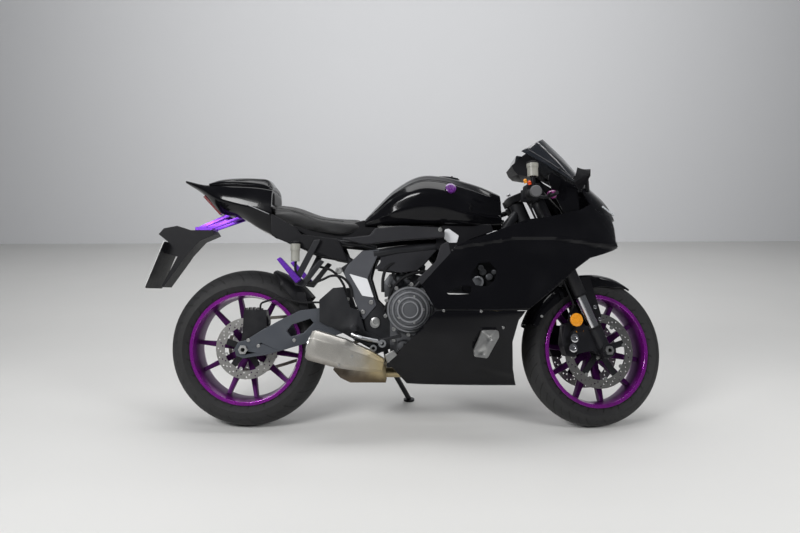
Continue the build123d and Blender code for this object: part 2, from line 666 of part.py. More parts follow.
with BuildPart() as subframe:
    for side, sign in SIDES.items():
        root = sign * min(PLATE_INNER[side] + PIVOT_PLATE_THICKNESS * 0.75, RAIL_HALF)
        tube_run(
            ((520, root, 712), (470, sign * RAIL_HALF, 728), (330, sign * RAIL_HALF, 742),
             (200, sign * 84, 762), (90, sign * 62, 791)),
            SUBFRAME_TUBE, SUBFRAME_JOINT,
        )
        tube_run(
            ((436, root, 652), (400, sign * RAIL_HALF, 676), (262, sign * RAIL_HALF, 700),
             (200, sign * 84, 762)),
            SUBFRAME_TUBE, SUBFRAME_JOINT,
        )
        rod((400, sign * RAIL_HALF, 676), (330, sign * RAIL_HALF, 742), SUBFRAME_TUBE * 0.8)
    for x, half, z in ((330, RAIL_HALF, 742), (200, 84, 762)):
        rod((x, -half, z), (x, half, z), SUBFRAME_TUBE)
    add(main_frame.part, mode=Mode.SUBTRACT)
    add(make_hull(TAIL_STATIONS).part, mode=Mode.SUBTRACT)
pieces["subframe"] = subframe

with BuildPart() as engine_block:
    with BuildSketch(seen_from_side(-ENGINE_RIGHT)):
        Polygon(*ENGINE, align=None)
    extrude(amount=-(ENGINE_RIGHT + ENGINE_LEFT))
    with BuildSketch(seen_from_side(-CASTING_HALF)):
        Polygon(*GEARBOX_TOP, align=None)
    extrude(amount=-2 * CASTING_HALF)
    for x, z, reach, radius in ENGINE_CASES:
        rod((x, -reach, z), (x, reach, z), radius)
    with BuildSketch(seen_from_side(-FIN_HALF)):
        for level in range(FINS):
            with Locations(Location((*FIN_START, 0), (0, 0, FIN_LEAN))):
                with Locations((0, level * FIN_STEP)):
                    Rectangle(FIN_LENGTH, FIN_THICKNESS)
    extrude(amount=-2 * FIN_HALF)
    for sign in SIDES.values():
        with BuildSketch(seen_from_side(sign * CASTING_HALF)):
            for x, z in GEARBOX_BOLTS:
                with Locations((x, z)):
                    Circle(BOLT_BOSS)
        extrude(amount=-sign * BOLT_BOSS)
pieces["engine_block"] = engine_block


def make_engine_cover(centre, steps, face, sign, lobe):
    """Round stepped case on one side of the engine, with a lobe beside it."""
    with BuildPart() as cover:
        for radius, height in steps:
            with BuildSketch(seen_from_side(sign * face)):
                with Locations(centre):
                    Circle(radius)
            extrude(amount=-sign * height)
        base = steps[0][1]
        with BuildSketch(seen_from_side(sign * face)):
            with BuildLine():
                Polyline(*lobe, close=True)
            make_face()
        extrude(amount=-sign * base * 0.8)
        cover_rims = cover.edges().filter_by(GeomType.CIRCLE).group_by(Axis.Y)[0 if sign < 0 else -1]
        chamfer(cover_rims, 3)
    return cover


CLUTCH_LOBE = ((610, 390), (700, 360), (800, 400), (800, 490), (720, 545), (660, 500))
GENERATOR_LOBE = ((700, 370), (850, 340), (880, 420), (850, 500), (720, 500), (680, 440))
pieces["clutch_cover"] = make_engine_cover(CLUTCH, CLUTCH_STEPS, ENGINE_RIGHT, -1, CLUTCH_LOBE)
pieces["generator_cover"] = make_engine_cover(GENERATOR, GENERATOR_STEPS, ENGINE_LEFT, 1, GENERATOR_LOBE)

with BuildPart() as airbox:
    with BuildSketch(seen_from_side(-AIRBOX_HALF)):
        Polygon(*AIRBOX, align=None)
    extrude(amount=-2 * AIRBOX_HALF)
    for across in (-INTAKE_SPACING, INTAKE_SPACING):
        rod((740, across, 700), (806, across, 622), INTAKE_RADIUS)
    add(engine_block.part, mode=Mode.SUBTRACT)
pieces["airbox"] = airbox

# ---------------------------------------------------------------- cooling and exhaust
RADIATOR_LOW = (1044, 420)
RADIATOR_HIGH = (1078, 668)
RADIATOR_HALF = 150
RADIATOR_DEPTH = 34
FIN_PITCH = 12
RADIATOR_ARM = 78
with BuildPart() as radiator:
    lean_back = degrees(atan2(RADIATOR_HIGH[0] - RADIATOR_LOW[0], RADIATOR_HIGH[1] - RADIATOR_LOW[1]))
    height = RADIATOR_HIGH[1] - RADIATOR_LOW[1]
    middle = ((RADIATOR_LOW[0] + RADIATOR_HIGH[0]) / 2, 0, (RADIATOR_LOW[1] + RADIATOR_HIGH[1]) / 2)
    with Locations(Location(middle, (0, lean_back, 0))):
        Box(RADIATOR_DEPTH, 2 * RADIATOR_HALF, height)
    facing = (cos(radians(lean_back)), 0, -sin(radians(lean_back)))
    front = Plane(origin=middle, x_dir=(0, 1, 0), z_dir=facing)
    with BuildSketch(front.offset(RADIATOR_DEPTH / 2)):
        with GridLocations(1, FIN_PITCH, 1, int((height - 40) / FIN_PITCH)):
            Rectangle(2 * RADIATOR_HALF - 56, FIN_PITCH * 0.55)
    extrude(amount=-5, mode=Mode.SUBTRACT)
    for across in (-RADIATOR_ARM, RADIATOR_ARM):
        rod((960, across, 620), (1062, across, 620), 8)
    add(engine_block.part, mode=Mode.SUBTRACT)
pieces["radiator"] = radiator

SILENCER_AXIS = ((268, 342), (540, 264))
SILENCER_SECTIONS = ((0, 44, 52), (14, 50, 58), (130, 50, 56), (235, 46, 40), (294, 38, 24))
SILENCER_MIDDLE = 173
HEADER_RADIUS = 19
with BuildPart() as silencer:
    (rear_x, rear_z), (front_x, front_z) = SILENCER_AXIS
    along_silencer = (front_x - rear_x, 0, front_z - rear_z)
    tail_end = Plane(origin=(rear_x, -SILENCER_MIDDLE, rear_z), x_dir=(0, -1, 0), z_dir=along_silencer)
    for along, half_width, half_height in SILENCER_SECTIONS:
        with BuildSketch(tail_end.offset(along)):
            Polygon(
                (-half_width, -half_height * 0.55), (-half_width * 0.55, -half_height),
                (half_width * 0.62, -half_height), (half_width, -half_height * 0.5),
                (half_width * 0.9, half_height * 0.62), (half_width * 0.5, half_height),
                (-half_width * 0.55, half_height), (-half_width, half_height * 0.6),
                align=None,
            )
    loft(ruled=True)
    with BuildSketch(tail_end):
        Circle(24)
    extrude(amount=60, mode=Mode.SUBTRACT)
pieces["silencer"] = silencer

COLLECTOR = ((350, 234), (378, 203), (418, 184), (558, 184), (558, 250), (420, 286), (362, 262))
with BuildPart() as exhaust_headers:
    for across in (-46, 46):
        tube_run(
            ((970, across, 596), (1008, across, 578), (1004, across, 380), (950, across * 0.9, 262),
             (860, across * 0.6 - 12, 218), (550, -26, 216)),
            HEADER_RADIUS,
        )
    with BuildSketch(seen_from_side(-92)):
        Polygon(*COLLECTOR, align=None)
    extrude(amount=-132)
    rod((505, -80, 258), (505, -SILENCER_MIDDLE, 262), 20)
    add(silencer.part, mode=Mode.SUBTRACT)
    with BuildSketch(seen_from_side(-ENGINE_RIGHT)):
        Polygon(*ENGINE, align=None)
    extrude(amount=-(ENGINE_RIGHT + ENGINE_LEFT), mode=Mode.SUBTRACT)
pieces["exhaust_headers"] = exhaust_headers

# ---------------------------------------------------------------- bodywork
with BuildPart() as fuel_tank:
    add(make_hull(TANK_STATIONS, BOW).part)
    add(main_frame.part, mode=Mode.SUBTRACT)
pieces["fuel_tank"] = fuel_tank
pieces["rider_seat"] = make_hull(SEAT_STATIONS, BOW)
tail_cowl = make_hull(TAIL_STATIONS)
pieces["tail_cowl"] = tail_cowl


def tail_top(x):
    """The height of the tail's flat top at a station."""
    for (x0, row0, *_), (x1, row1, *_) in zip(TAIL_STATIONS, TAIL_STATIONS[1:]):
        if x0 <= x <= x1:
            return row0[1] + (row1[1] - row0[1]) * (x - x0) / (x1 - x0)


def hump_station(x, rows):
    """A station of the hump, its heights counted from the tail's top."""
    return (x, *((half, tail_top(x) + over) for half, over in rows))


pieces["seat_hump"] = make_hull([hump_station(x, rows) for x, *rows in HUMP_STATIONS])


def fairing_body(inset):
    """The right half of the fairing's volume, drawn in by inset."""
    with BuildPart() as body:
        for x, halves in FAIRING_STATIONS:
            with BuildSketch(Plane.YZ.offset(x)):
                outer = [(-half + inset, z + inset) for half, z in zip(halves, FAIRING_LEVELS)]
                Polygon((0, outer[0][1]), *outer, (0, outer[-1][1]), align=None)
        loft(ruled=True)
    return body.part


OUTER_BODY = fairing_body(0)
INNER_BODY = fairing_body(FAIRING_WALL)


def make_fairing(outline, side, vents=()):
    """A fairing panel: the fairing's wall inside a side outline."""
    with BuildPart() as panel:
        add(OUTER_BODY)
        add(INNER_BODY, mode=Mode.SUBTRACT)
        with BuildSketch(Plane.XZ):
            Polygon(*outline, align=None)
            for vent in vents:
                Polygon(*vent, align=None, mode=Mode.SUBTRACT)
        extrude(amount=400, mode=Mode.INTERSECT)
        if side == "left":
            mirror(about=Plane.XZ, mode=Mode.REPLACE)
    return panel


for side in SIDES:
    pieces[f"side_fairing_{side}"] = make_fairing(SIDE_FAIRING, side, (FAIRING_VENT,))

with BuildPart() as belly_pan:
    for side, sign in SIDES.items():
        add(make_fairing(BELLY_PAN, side).part)
        rod((SLIDER_BOLT[0], 0, SLIDER_BOLT[1]), (SLIDER_BOLT[0], sign * SLIDER_FACE, SLIDER_BOLT[1]),
            SLIDER_BOLT_RADIUS + FIT, Mode.SUBTRACT)
    stand_gap = STAND_EYE + 8
    rod(STAND_PIVOT - STAND_AXIS * 60, STAND_PIVOT + STAND_AXIS * 60, stand_gap, Mode.SUBTRACT)
pieces["belly_pan"] = belly_pan


def nose_band(z, front, side, half, back):
    """The nose's V section at one level, moved back."""
    right = ((side - back, -half), (front - back, -NOSE_BRIDGE))
    return (*right, (front - back, NOSE_BRIDGE), (side - back, half))


with BuildPart() as nose_volume:
    for z, front, side, half in NOSE_LEVELS:
        with BuildSketch(Plane.XY.offset(z)):
            Polygon(*nose_band(z, front, side, half, 0), align=None)
    loft(ruled=True)

with BuildPart() as nose_cowl:
    wall = FAIRING_WALL * 1.6
    for z, front, side, half in NOSE_LEVELS:
        with BuildSketch(Plane.XY.offset(z)):
            outer = nose_band(z, front, side, half, 0)
            inner = nose_band(z, front, side, half, wall)
            Polygon(*outer, *reversed(inner), align=None)
    loft(ruled=True)
    with Locations((NOSE_LEVELS[2][1], 0, sum(INTAKE) / 2)):
        Box(160, 2 * INTAKE_HALF, INTAKE[1] - INTAKE[0], mode=Mode.SUBTRACT)
pieces["nose_cowl"] = nose_cowl

with BuildPart() as headlamp:
    lamp_z = sum(INTAKE) / 2
    rod((1360, 0, lamp_z), (1430, 0, lamp_z), 38)
    rod((1430, 0, lamp_z), (1446, 0, lamp_z), 33)
    with BuildSketch(Plane.YZ.offset(1330)):
        with Locations((0, lamp_z)):
            Rectangle(2 * INTAKE_HALF + 20, INTAKE[1] - INTAKE[0] + 16)
    extrude(amount=34)
    bracket_z, nose_front, nose_side, nose_half = NOSE_LEVELS[1]
    edge_x = nose_side - FAIRING_WALL * 0.8
    for sign in SIDES.values():
        with BuildSketch(Plane.XY.offset(bracket_z - 6)):
            Polygon(
                (1364, sign * 30), (1364, sign * 52), (edge_x, sign * nose_half),
                (edge_x + (nose_front - nose_side) / 4, sign * (nose_half - (nose_half - NOSE_BRIDGE) / 4)),
                (1410, sign * 30), align=None,
            )
        extrude(amount=12)
    add(nose_cowl.part, mode=Mode.SUBTRACT)
pieces["headlamp"] = headlamp

with BuildPart() as windscreen:
    for (mid_x, mid_z), (side_x, half, side_z) in zip(SCREEN_MIDDLE, SCREEN_SIDE):
        tilt = Plane(
            origin=(side_x, 0, side_z),
            x_dir=(0, 1, 0),
            z_dir=(-(mid_z - side_z), 0, mid_x - side_x),
        )
        rise = sqrt((mid_x - side_x) ** 2 + (mid_z - side_z) ** 2)
        outer = [(half * share, -rise * depth) for share, depth in SCREEN_SHAPE]
        thin_half = half - SCREEN_WALL
        thin_rise = rise - SCREEN_WALL
        inner = [(thin_half * share, -thin_rise * depth) for share, depth in SCREEN_SHAPE]
        outer_row = outer + [(-y, z) for y, z in reversed(outer[:-1])]
        inner_row = inner + [(-y, z) for y, z in reversed(inner[:-1])]
        with BuildSketch(tilt):
            Polygon(*outer_row, *reversed(inner_row), align=None)
    loft(ruled=True)
pieces["windscreen"] = windscreen

DASH_HALF = 74
DASH = ((1121, 1098), (1062, 1048), (1072, 1026), (1088, 1011), (1130, 1004), (1176, 1010), (1168, 1062))
DASH_STAY_HALF = 10
DASH_STAY = ((1150, 1010), (1176, 1010), (1310, 880), (1330, 830), (1330, 800), (1300, 820), (1270, 880))
with BuildPart() as dash:
    for half, outline in ((DASH_HALF, DASH), (DASH_STAY_HALF, DASH_STAY)):
        with BuildSketch(seen_from_side(-half)):
            Polygon(*outline, align=None)
        extrude(amount=-2 * half)
    rod(HEAD.from_local_coords((0, 0, STAY_HEIGHT)), (1310, 0, 818), STAY_RADIUS)
    add(main_frame.part, mode=Mode.SUBTRACT)
    stem_low = HEAD.from_local_coords((0, 0, LOWER_YOKE))
    rod(stem_low, stem_low + AXIS_UP * (TOP_YOKE - LOWER_YOKE), STEM_RADIUS + FIT, Mode.SUBTRACT)
    add(headlamp.part, mode=Mode.SUBTRACT)
pieces["dash"] = dash


def make_plate(outline, side, inner, wall):
    """A flat panel on one side of the bike, its inner face at a place across it."""
    sign = SIDES[side]
    with BuildPart() as panel:
        with BuildSketch(seen_from_side(sign * inner)):
            Polygon(*outline, align=None)
        extrude(amount=-sign * wall)
    return panel


RAIL_FACE = RAIL_HALF + SUBFRAME_TUBE * SUBFRAME_JOINT
with BuildPart() as side_covers:
    for side in SIDES:
        add(make_plate(SIDE_COVER, side, RAIL_FACE, COVER_FACE - RAIL_FACE).part)
pieces["side_covers"] = side_covers
with BuildPart() as tail_panels:
    for side in SIDES:
        add(make_plate(TAIL_PANEL, side, RAIL_FACE, TAIL_PANEL_WALL).part)
pieces["tail_panels"] = tail_panels

LAMP_HALF = 28
LAMP_DEPTH = 8
with BuildPart() as tail_lamp:
    (rear_x, *_, (_, rear_z)), (front_x, *_, (_, front_z)) = TAIL_STATIONS[1:3]
    run = atan2(front_z - rear_z, front_x - rear_x)
    down = (sin(run), -cos(run))
    edge = [(rear_x, rear_z), (front_x, front_z)]
    deep = [(x + down[0] * LAMP_DEPTH, z + down[1] * LAMP_DEPTH) for x, z in edge]
    with BuildSketch(seen_from_side(-LAMP_HALF)):
        Polygon(*edge, *reversed(deep), align=None)
    extrude(amount=-2 * LAMP_HALF)
pieces["tail_lamp"] = tail_lamp

# ---------------------------------------------------------------- plate, lamps and hugger
PLATE_ARMS = (((-76, 858), (-214, 796)), ((-24, 848), (-176, 796)))
PLATE_FOOT = ((-222, 806), (-150, 806), (-150, 794), (-222, 794))
PLATE_ARM_ACROSS = 30
PLATE_ARM_WALL = 8
PLATE_ARM_HALF = 7
with BuildPart() as plate_bracket:
    for sign in SIDES.values():
        for (start_x, start_z), (end_x, end_z) in PLATE_ARMS:
            run = atan2(end_z - start_z, end_x - start_x)
            side_x = -sin(run) * PLATE_ARM_HALF
            side_z = cos(run) * PLATE_ARM_HALF
            with BuildSketch(seen_from_side(sign * PLATE_ARM_ACROSS)):
                Polygon(
                    (start_x + side_x, start_z + side_z), (end_x + side_x, end_z + side_z),
                    (end_x - side_x, end_z - side_z), (start_x - side_x, start_z - side_z), align=None,
                )
            extrude(amount=-sign * PLATE_ARM_WALL)
        with BuildSketch(seen_from_side(sign * PLATE_ARM_ACROSS)):
            Polygon(*PLATE_FOOT, align=None)
        extrude(amount=-sign * PLATE_ARM_WALL)
    with Locations((-186, 0, 796)):
        Box(72, 76, 8)
    with Locations((-186, 0, 692)):
        Box(300, 100, 200, mode=Mode.SUBTRACT)
    add(tail_cowl.part, mode=Mode.SUBTRACT)
pieces["plate_bracket"] = plate_bracket

REAR_HOSE = (
    (60, -91, 470.2), (60, -91, 496), (140, -113, 522), (226, -126.5, 500), (298.9, -126.5, 500),
)
PLATE_SIZE = (180, 200)
PLATE_THICKNESS = 3
plate_plane = Plane(origin=(-366, 0, 650), x_dir=(0, 1, 0), z_dir=(-1, 0, 0.4))
PLATE_CORNER = 10
HANGER_HALF = 46
HANGER = (
    (-368, 776), (-347, 800), (-293, 810), (-240, 792), (-150, 792), (-139, 774), (-201, 747), (-254, 689),
    (-270, 665), (-345, 560), (-352, 566), (-290, 684), (-346, 700), (-328.4, 744),
)
with BuildPart() as plate_hanger:
    with BuildSketch(seen_from_side(-HANGER_HALF)):
        Polygon(*HANGER, align=None)
    extrude(amount=-2 * HANGER_HALF)
    with BuildSketch(plate_plane):
        RectangleRounded(*PLATE_SIZE, PLATE_CORNER)
    extrude(amount=-PLATE_THICKNESS)
pieces["plate_hanger"] = plate_hanger
with BuildPart() as number_plate:
    with BuildSketch(plate_plane):
        RectangleRounded(*PLATE_SIZE, PLATE_CORNER)
    extrude(amount=PLATE_THICKNESS)
pieces["number_plate"] = number_plate

HUGGER_WALL = 3
HUGGER_START = 8
HUGGER_ARC = 44
HUGGER_HALF = REAR_TYRE_HALF + 8
HUGGER_INNER = REAR_TYRE_RADIUS + 14
HUGGER_TAB = ((222, 460), (256, 460), (238, 540), (206, 540))


def arch(half, inner, wall, crown, skirt):
    """A mudguard's section: a flat crown of a share of its width, sloping shoulders and side skirts."""
    shoulder = inner - skirt * 0.5
    inside = [(half * crown, inner), (half, shoulder), (half, inner - skirt)]
    outside = [(half + wall, inner - skirt), (half + wall, shoulder + wall * 0.7)]
    outside.append((half * crown + wall, inner + wall))
    ring = inside + outside
    return ring + [(-y, z) for y, z in reversed(ring)]


with BuildPart() as hugger:
    with BuildSketch(wheel_plane(REAR_AXLE, HUGGER_START)):
        Polygon(*arch(HUGGER_HALF, HUGGER_INNER, HUGGER_WALL, 0.55, 55), align=None)
    revolve(axis=Axis(REAR_AXLE, (0, 1, 0)), revolution_arc=HUGGER_ARC)
    with BuildSketch(seen_from_side(-HUGGER_HALF)):
        Polygon(*HUGGER_TAB, align=None)
    extrude(amount=8)
    add(pieces["swingarm"].part, mode=Mode.SUBTRACT)
pieces["hugger"] = hugger

# ---------------------------------------------------------------- rider controls on the chassis
for side, sign in SIDES.items():
    plate_face = PLATE_INNER[side] + PIVOT_PLATE_THICKNESS
    rest_face = FOOTREST_FACE[side]
    with BuildPart() as footrest:
        with BuildSketch(seen_from_side(sign * rest_face)):
            Polygon(*HEEL_PLATE, align=None)
        extrude(amount=-sign * 9)
        rod((440, sign * rest_face, 400), (440, sign * (rest_face + 100), 404), 12)
        for x, z in ((534, 338), (505, 333)):
            rod((x, sign * plate_face, z), (x, sign * (rest_face + 18), z), 11)
        tube_run(
            ((505, sign * (rest_face + 14), 333), (440, sign * (rest_face + 26), 360),
             (530, sign * (rest_face + 30), 352), (620, sign * (rest_face + 34), 372)), 6,
        )
    pieces[f"footrest_{side}"] = footrest

PILLION_STRUTS = (
    ((276, 744), (304, 746), (222, 588), (196, 588)),
    ((300, 668), (318, 660), (240, 560), (216, 566)),
    ((196, 588), (240, 588), (240, 560), (204, 566)),
)
PILLION_PEG = ((136, 668), (150, 676), (232, 590), (212, 574))
PILLION_THICKNESS = 14
PEG_REACH = 26
bracket_face = RAIL_FACE + TAIL_PANEL_WALL
with BuildPart() as pillion_brackets:
    for sign in SIDES.values():
        with BuildSketch(seen_from_side(sign * bracket_face)):
            for strut in PILLION_STRUTS:
                Polygon(*strut, align=None)
        extrude(amount=-sign * PILLION_THICKNESS)
pieces["pillion_brackets"] = pillion_brackets

with BuildPart() as pillion_pegs:
    for sign in SIDES.values():
        with BuildSketch(seen_from_side(sign * (bracket_face + PILLION_THICKNESS))):
            Polygon(*PILLION_PEG, align=None)
        extrude(amount=-sign * PEG_REACH)
pieces["pillion_pegs"] = pillion_pegs

with BuildPart() as rear_reservoir:
    tank_y = -(RAIL_FACE + TAIL_PANEL_WALL + 21)
    rod((206, tank_y, 660), (206, tank_y, 702), 17)
    rod((206, tank_y, 702), (206, tank_y, 728), 19)
    rod((206, tank_y, 727), (206, -RAIL_FACE - TAIL_PANEL_WALL, 727), 5)
pieces["rear_reservoir"] = rear_reservoir


def slider_rod(side, start, end, radius):
    """A length of the slider's bolt on one side, between two places across the bike."""
    sign = SIDES[side]
    x, z = SLIDER_BOLT
    rod((x, sign * start, z), (x, sign * end, z), radius)


def make_spacer(side, engine_face):
    """The sleeve round the slider's bolt, from the engine to the inside of the fairing."""
    with BuildPart() as spacer:
        slider_rod(side, engine_face, SLIDER_FACE, SLIDER_SPACER)
        add(INNER_BODY if side == "right" else INNER_BODY.mirror(Plane.XZ), mode=Mode.INTERSECT)
    return spacer


with BuildPart() as frame_sliders:
    for side, engine_face in ENGINE_FACE.items():
        add(make_spacer(side, engine_face).part)
        slider_rod(side, engine_face, SLIDER_FACE + 4, SLIDER_BOLT_RADIUS)
        with BuildSketch(seen_from_side(SIDES[side] * SLIDER_FACE)) as slider_outline:
            Polygon(*SLIDER_PLATE, align=None)
            fillet(slider_outline.vertices(), SLIDER_CORNER)
        extrude(amount=-SIDES[side] * SLIDER_THICKNESS)
        with BuildSketch(seen_from_side(SIDES[side] * (SLIDER_FACE + SLIDER_THICKNESS))):
            with Locations(*SLIDER_RECESSES):
                Circle(SLIDER_CORNER)
        extrude(amount=SIDES[side] * SLIDER_CORNER, mode=Mode.SUBTRACT)
pieces["frame_sliders"] = frame_sliders


MIRROR = ((1282, 1008), (1306, 994), (1304, 932), (1292, 916), (1268, 950))
MIRROR_INNER = 236
MIRROR_WIDTH = 150
with BuildPart() as mirrors:
    for sign in SIDES.values():
        rod((1366, sign * 70, 936), (1310, sign * 250, 985), 8)
        with BuildSketch(seen_from_side(sign * MIRROR_INNER)):
            Polygon(*MIRROR, align=None)
        extrude(amount=-sign * MIRROR_WIDTH, taper=6)
    add(nose_volume.part, mode=Mode.SUBTRACT)
pieces["mirrors"] = mirrors


# ---------------------------------------------------------------- steering, drawn straight ahead
def head_point(forward, across, up):
    """A point in the steering head's frame, as a point of the bike."""
    return HEAD.from_local_coords((forward, across, up))


FORK_EAR_OUTLINE = (
    (1392, 352), (1376, 392), (1296, 400), (1262, 372), (1258, 300), (1280, 288), (1340, 300), (1392, 268),
)


def make_fork(side):
    """One leg: its outer tube, the stanchion below it, and the casting with its ear and axle boss."""
    sign = SIDES[side]
    y = sign * FORK_SPACING
    with BuildPart() as fork:
        for low, high, radius in (
            (OUTER_TUBE_END, FORK_TOP, OUTER_TUBE_RADIUS),
            (CASTING_TOP - 10, OUTER_TUBE_END + 10, STANCHION_RADIUS),
            (CASTING_FOOT, CASTING_TOP, CASTING_RADIUS),
        ):
            rod(head_point(FORK_OFFSET, y, low), head_point(FORK_OFFSET, y, high), radius)
        with BuildSketch(seen_from_side(sign * FORK_EAR)):
            Polygon(*FORK_EAR_OUTLINE, align=None)
        extrude(amount=-sign * FORK_EAR_THICKNESS)
        with BuildSketch(seen_from_side(sign * CASTING_INNER)):
            with Locations((WHEELBASE, FRONT_TYRE_RADIUS)):
                Circle(CASTING_RADIUS)
        extrude(amount=-sign * (CASTING_OUTER - CASTING_INNER))
        bore_start = (WHEELBASE, sign * (CASTING_INNER - CASTING_RADIUS), FRONT_TYRE_RADIUS)
        bore_end = (WHEELBASE, sign * (CASTING_OUTER + CASTING_RADIUS), FRONT_TYRE_RADIUS)
        rod(bore_start, bore_end, AXLE_RADIUS + FIT, Mode.SUBTRACT)
    return fork


with BuildPart() as yokes:
    for level in (LOWER_YOKE, TOP_YOKE):
        with BuildSketch(HEAD.offset(level)):
            with Locations((FORK_OFFSET, 0)):
                Rectangle(40, 2 * FORK_SPACING)
                with Locations((0, -FORK_SPACING), (0, FORK_SPACING)):
                    Circle(OUTER_TUBE_RADIUS + 11)
            with Locations((FORK_OFFSET / 2, 0)):
                Rectangle(FORK_OFFSET + 44, 90)
            with Locations((FORK_OFFSET, -FORK_SPACING), (FORK_OFFSET, FORK_SPACING)):
                Circle(OUTER_TUBE_RADIUS + FIT, mode=Mode.SUBTRACT)
        extrude(amount=YOKE_THICKNESS)
    rod(head_point(0, 0, LOWER_YOKE), head_point(0, 0, TOP_YOKE + YOKE_THICKNESS), STEM_RADIUS)
pieces["yokes"] = yokes

# The handlebars' driving points, as X, how far across and Z, mirrored for the other side.
BAR_CLAMP = TOP_YOKE - 34
BAR_CLAMP_HEIGHT = 30
BAR_RADIUS = 11
GRIP_INNER = (1056, 206, 884)
GRIP_OUTER = (1018, 338, 862)
GRIP_RADIUS = 16
BAR_END = (1012, 352, 859)
BAR_END_RADIUS = 14
SWITCH_BOX = (44, 46, 44)
SWITCH_TURN = 16
LEVER = ((1070, 206, 882), (1118, 214, 878), (1112, 300, 866), (1098, 350, 860))
LEVER_RADIUS = 6.5


def mirrored(point, sign):
    """A point on the side of the bike that the sign gives."""
    return Vector(point[0], sign * point[1], point[2])


def make_handlebar(side):
    """A clip-on bar with its grip, bar end, switch box and lever."""
    sign = SIDES[side]
    y = sign * FORK_SPACING
    clamp_low = head_point(FORK_OFFSET, y, BAR_CLAMP)
    clamp_high = head_point(FORK_OFFSET, y, BAR_CLAMP + BAR_CLAMP_HEIGHT)
    bar_start = head_point(FORK_OFFSET, y + sign * OUTER_TUBE_RADIUS, BAR_CLAMP + BAR_CLAMP_HEIGHT / 2)
    inner = mirrored(GRIP_INNER, sign)
    outer = mirrored(GRIP_OUTER, sign)
    with BuildPart() as handlebar:
        rod(clamp_low, clamp_high, OUTER_TUBE_RADIUS + BAR_RADIUS)
        rod(bar_start, inner, BAR_RADIUS)
        rod(inner, outer, GRIP_RADIUS)
        rod(outer, mirrored(BAR_END, sign), BAR_END_RADIUS)
        with Locations(Location(inner, (0, 0, -sign * SWITCH_TURN))):
            Box(*SWITCH_BOX)
        tube_run([mirrored(point, sign) for point in LEVER], LEVER_RADIUS)
        rod(clamp_low, clamp_high, OUTER_TUBE_RADIUS + FIT, Mode.SUBTRACT)
    return handlebar


for side, sign in SIDES.items():
    pieces[f"fork_{side}"] = make_fork(side)
    pieces[f"handlebar_{side}"] = make_handlebar(side)

FRONT_CALIPER = (
    (1226, 330), (1238, 396), (1252, 410), (1286, 406), (1296, 386), (1290, 292), (1276, 276), (1242, 282),
)
FRONT_CALIPER_INNER = 44
with BuildPart() as front_calipers:
    for sign in SIDES.values():
        with BuildSketch(seen_from_side(sign * FRONT_CALIPER_INNER)):
            Polygon(*FRONT_CALIPER, align=None)
        extrude(amount=-sign * (FORK_EAR - FRONT_CALIPER_INNER))
    for sign in SIDES.values():
        disc_low = (WHEELBASE, sign * (FRONT_HUB_HALF - RUNNING_GAP), FRONT_TYRE_RADIUS)
        disc_high = (WHEELBASE, sign * (FRONT_HUB_HALF + DISC_THICKNESS + RUNNING_GAP), FRONT_TYRE_RADIUS)
        rod(disc_low, disc_high, FRONT_DISC_RADIUS + RUNNING_GAP, Mode.SUBTRACT)
pieces["front_calipers"] = front_calipers

RESERVOIR_AT = (1064, -228)
with BuildPart() as front_reservoir:
    for low, high, radius in ((906, 952, 7), (952, 988, 20), (988, 1004, 22)):
        rod((*RESERVOIR_AT, low), (*RESERVOIR_AT, high), radius)
pieces["front_reservoir"] = front_reservoir

with BuildPart() as fork_reflectors:
    for sign in SIDES.values():
        ear_face = FORK_EAR + FORK_EAR_THICKNESS
        with BuildSketch(seen_from_side(sign * ear_face)):
            Polygon((1262, 440), (1290, 440), (1306, 376), (1276, 372), align=None)
        extrude(amount=-sign * 3)
        rod((1276, sign * (ear_face + 3), 420), (1276, sign * (ear_face + 10), 420), 26)
pieces["fork_reflectors"] = fork_reflectors

HOSE_RADIUS = 4
HOSE_BEND = 0.45


def make_hose(points):
    """A hose along straight runs, rounded at each bend by as large a radius as the runs allow."""
    runs = [end - start for start, end in zip(points, points[1:])]
    bends = []
    for before, after in zip(runs, runs[1:]):
        half_turn = radians(before.get_angle(after)) / 2
        bends.append(HOSE_BEND * min(before.length, after.length) / tan(half_turn))
    with BuildPart() as hose:
        with BuildLine() as path:
            FilletPolyline(*points, radius=min(bends))
        with BuildSketch(Plane(origin=path.line @ 0, z_dir=path.line % 0)):
            Circle(HOSE_RADIUS)
        sweep()
    return hose


CALIPER_TOP = Vector(1268, 64, 408.6)
with BuildPart() as front_brake_hoses:
    for side, sign in SIDES.items():
        low_end = [
            head_point(-6, sign * 112, 330), head_point(-6, sign * 112, 215),
            Vector(CALIPER_TOP.X, sign * CALIPER_TOP.Y, CALIPER_TOP.Z + 30),
            Vector(CALIPER_TOP.X, sign * CALIPER_TOP.Y, CALIPER_TOP.Z),
        ]
        if side == "right":
            high_end = [Vector(1066, -198, 861.9), Vector(1066, -198, 832), head_point(-8, -120, 500)]
        else:
            high_end = [head_point(-10, 34, LOWER_YOKE - FIT), head_point(-10, 34, LOWER_YOKE - 32)]
        add(make_hose(high_end + low_end).part)
pieces["front_brake_hoses"] = front_brake_hoses

with BuildPart() as rear_brake_hose:
    add(make_hose([Vector(*point) for point in REAR_HOSE]).part)
pieces["rear_brake_hose"] = rear_brake_hose

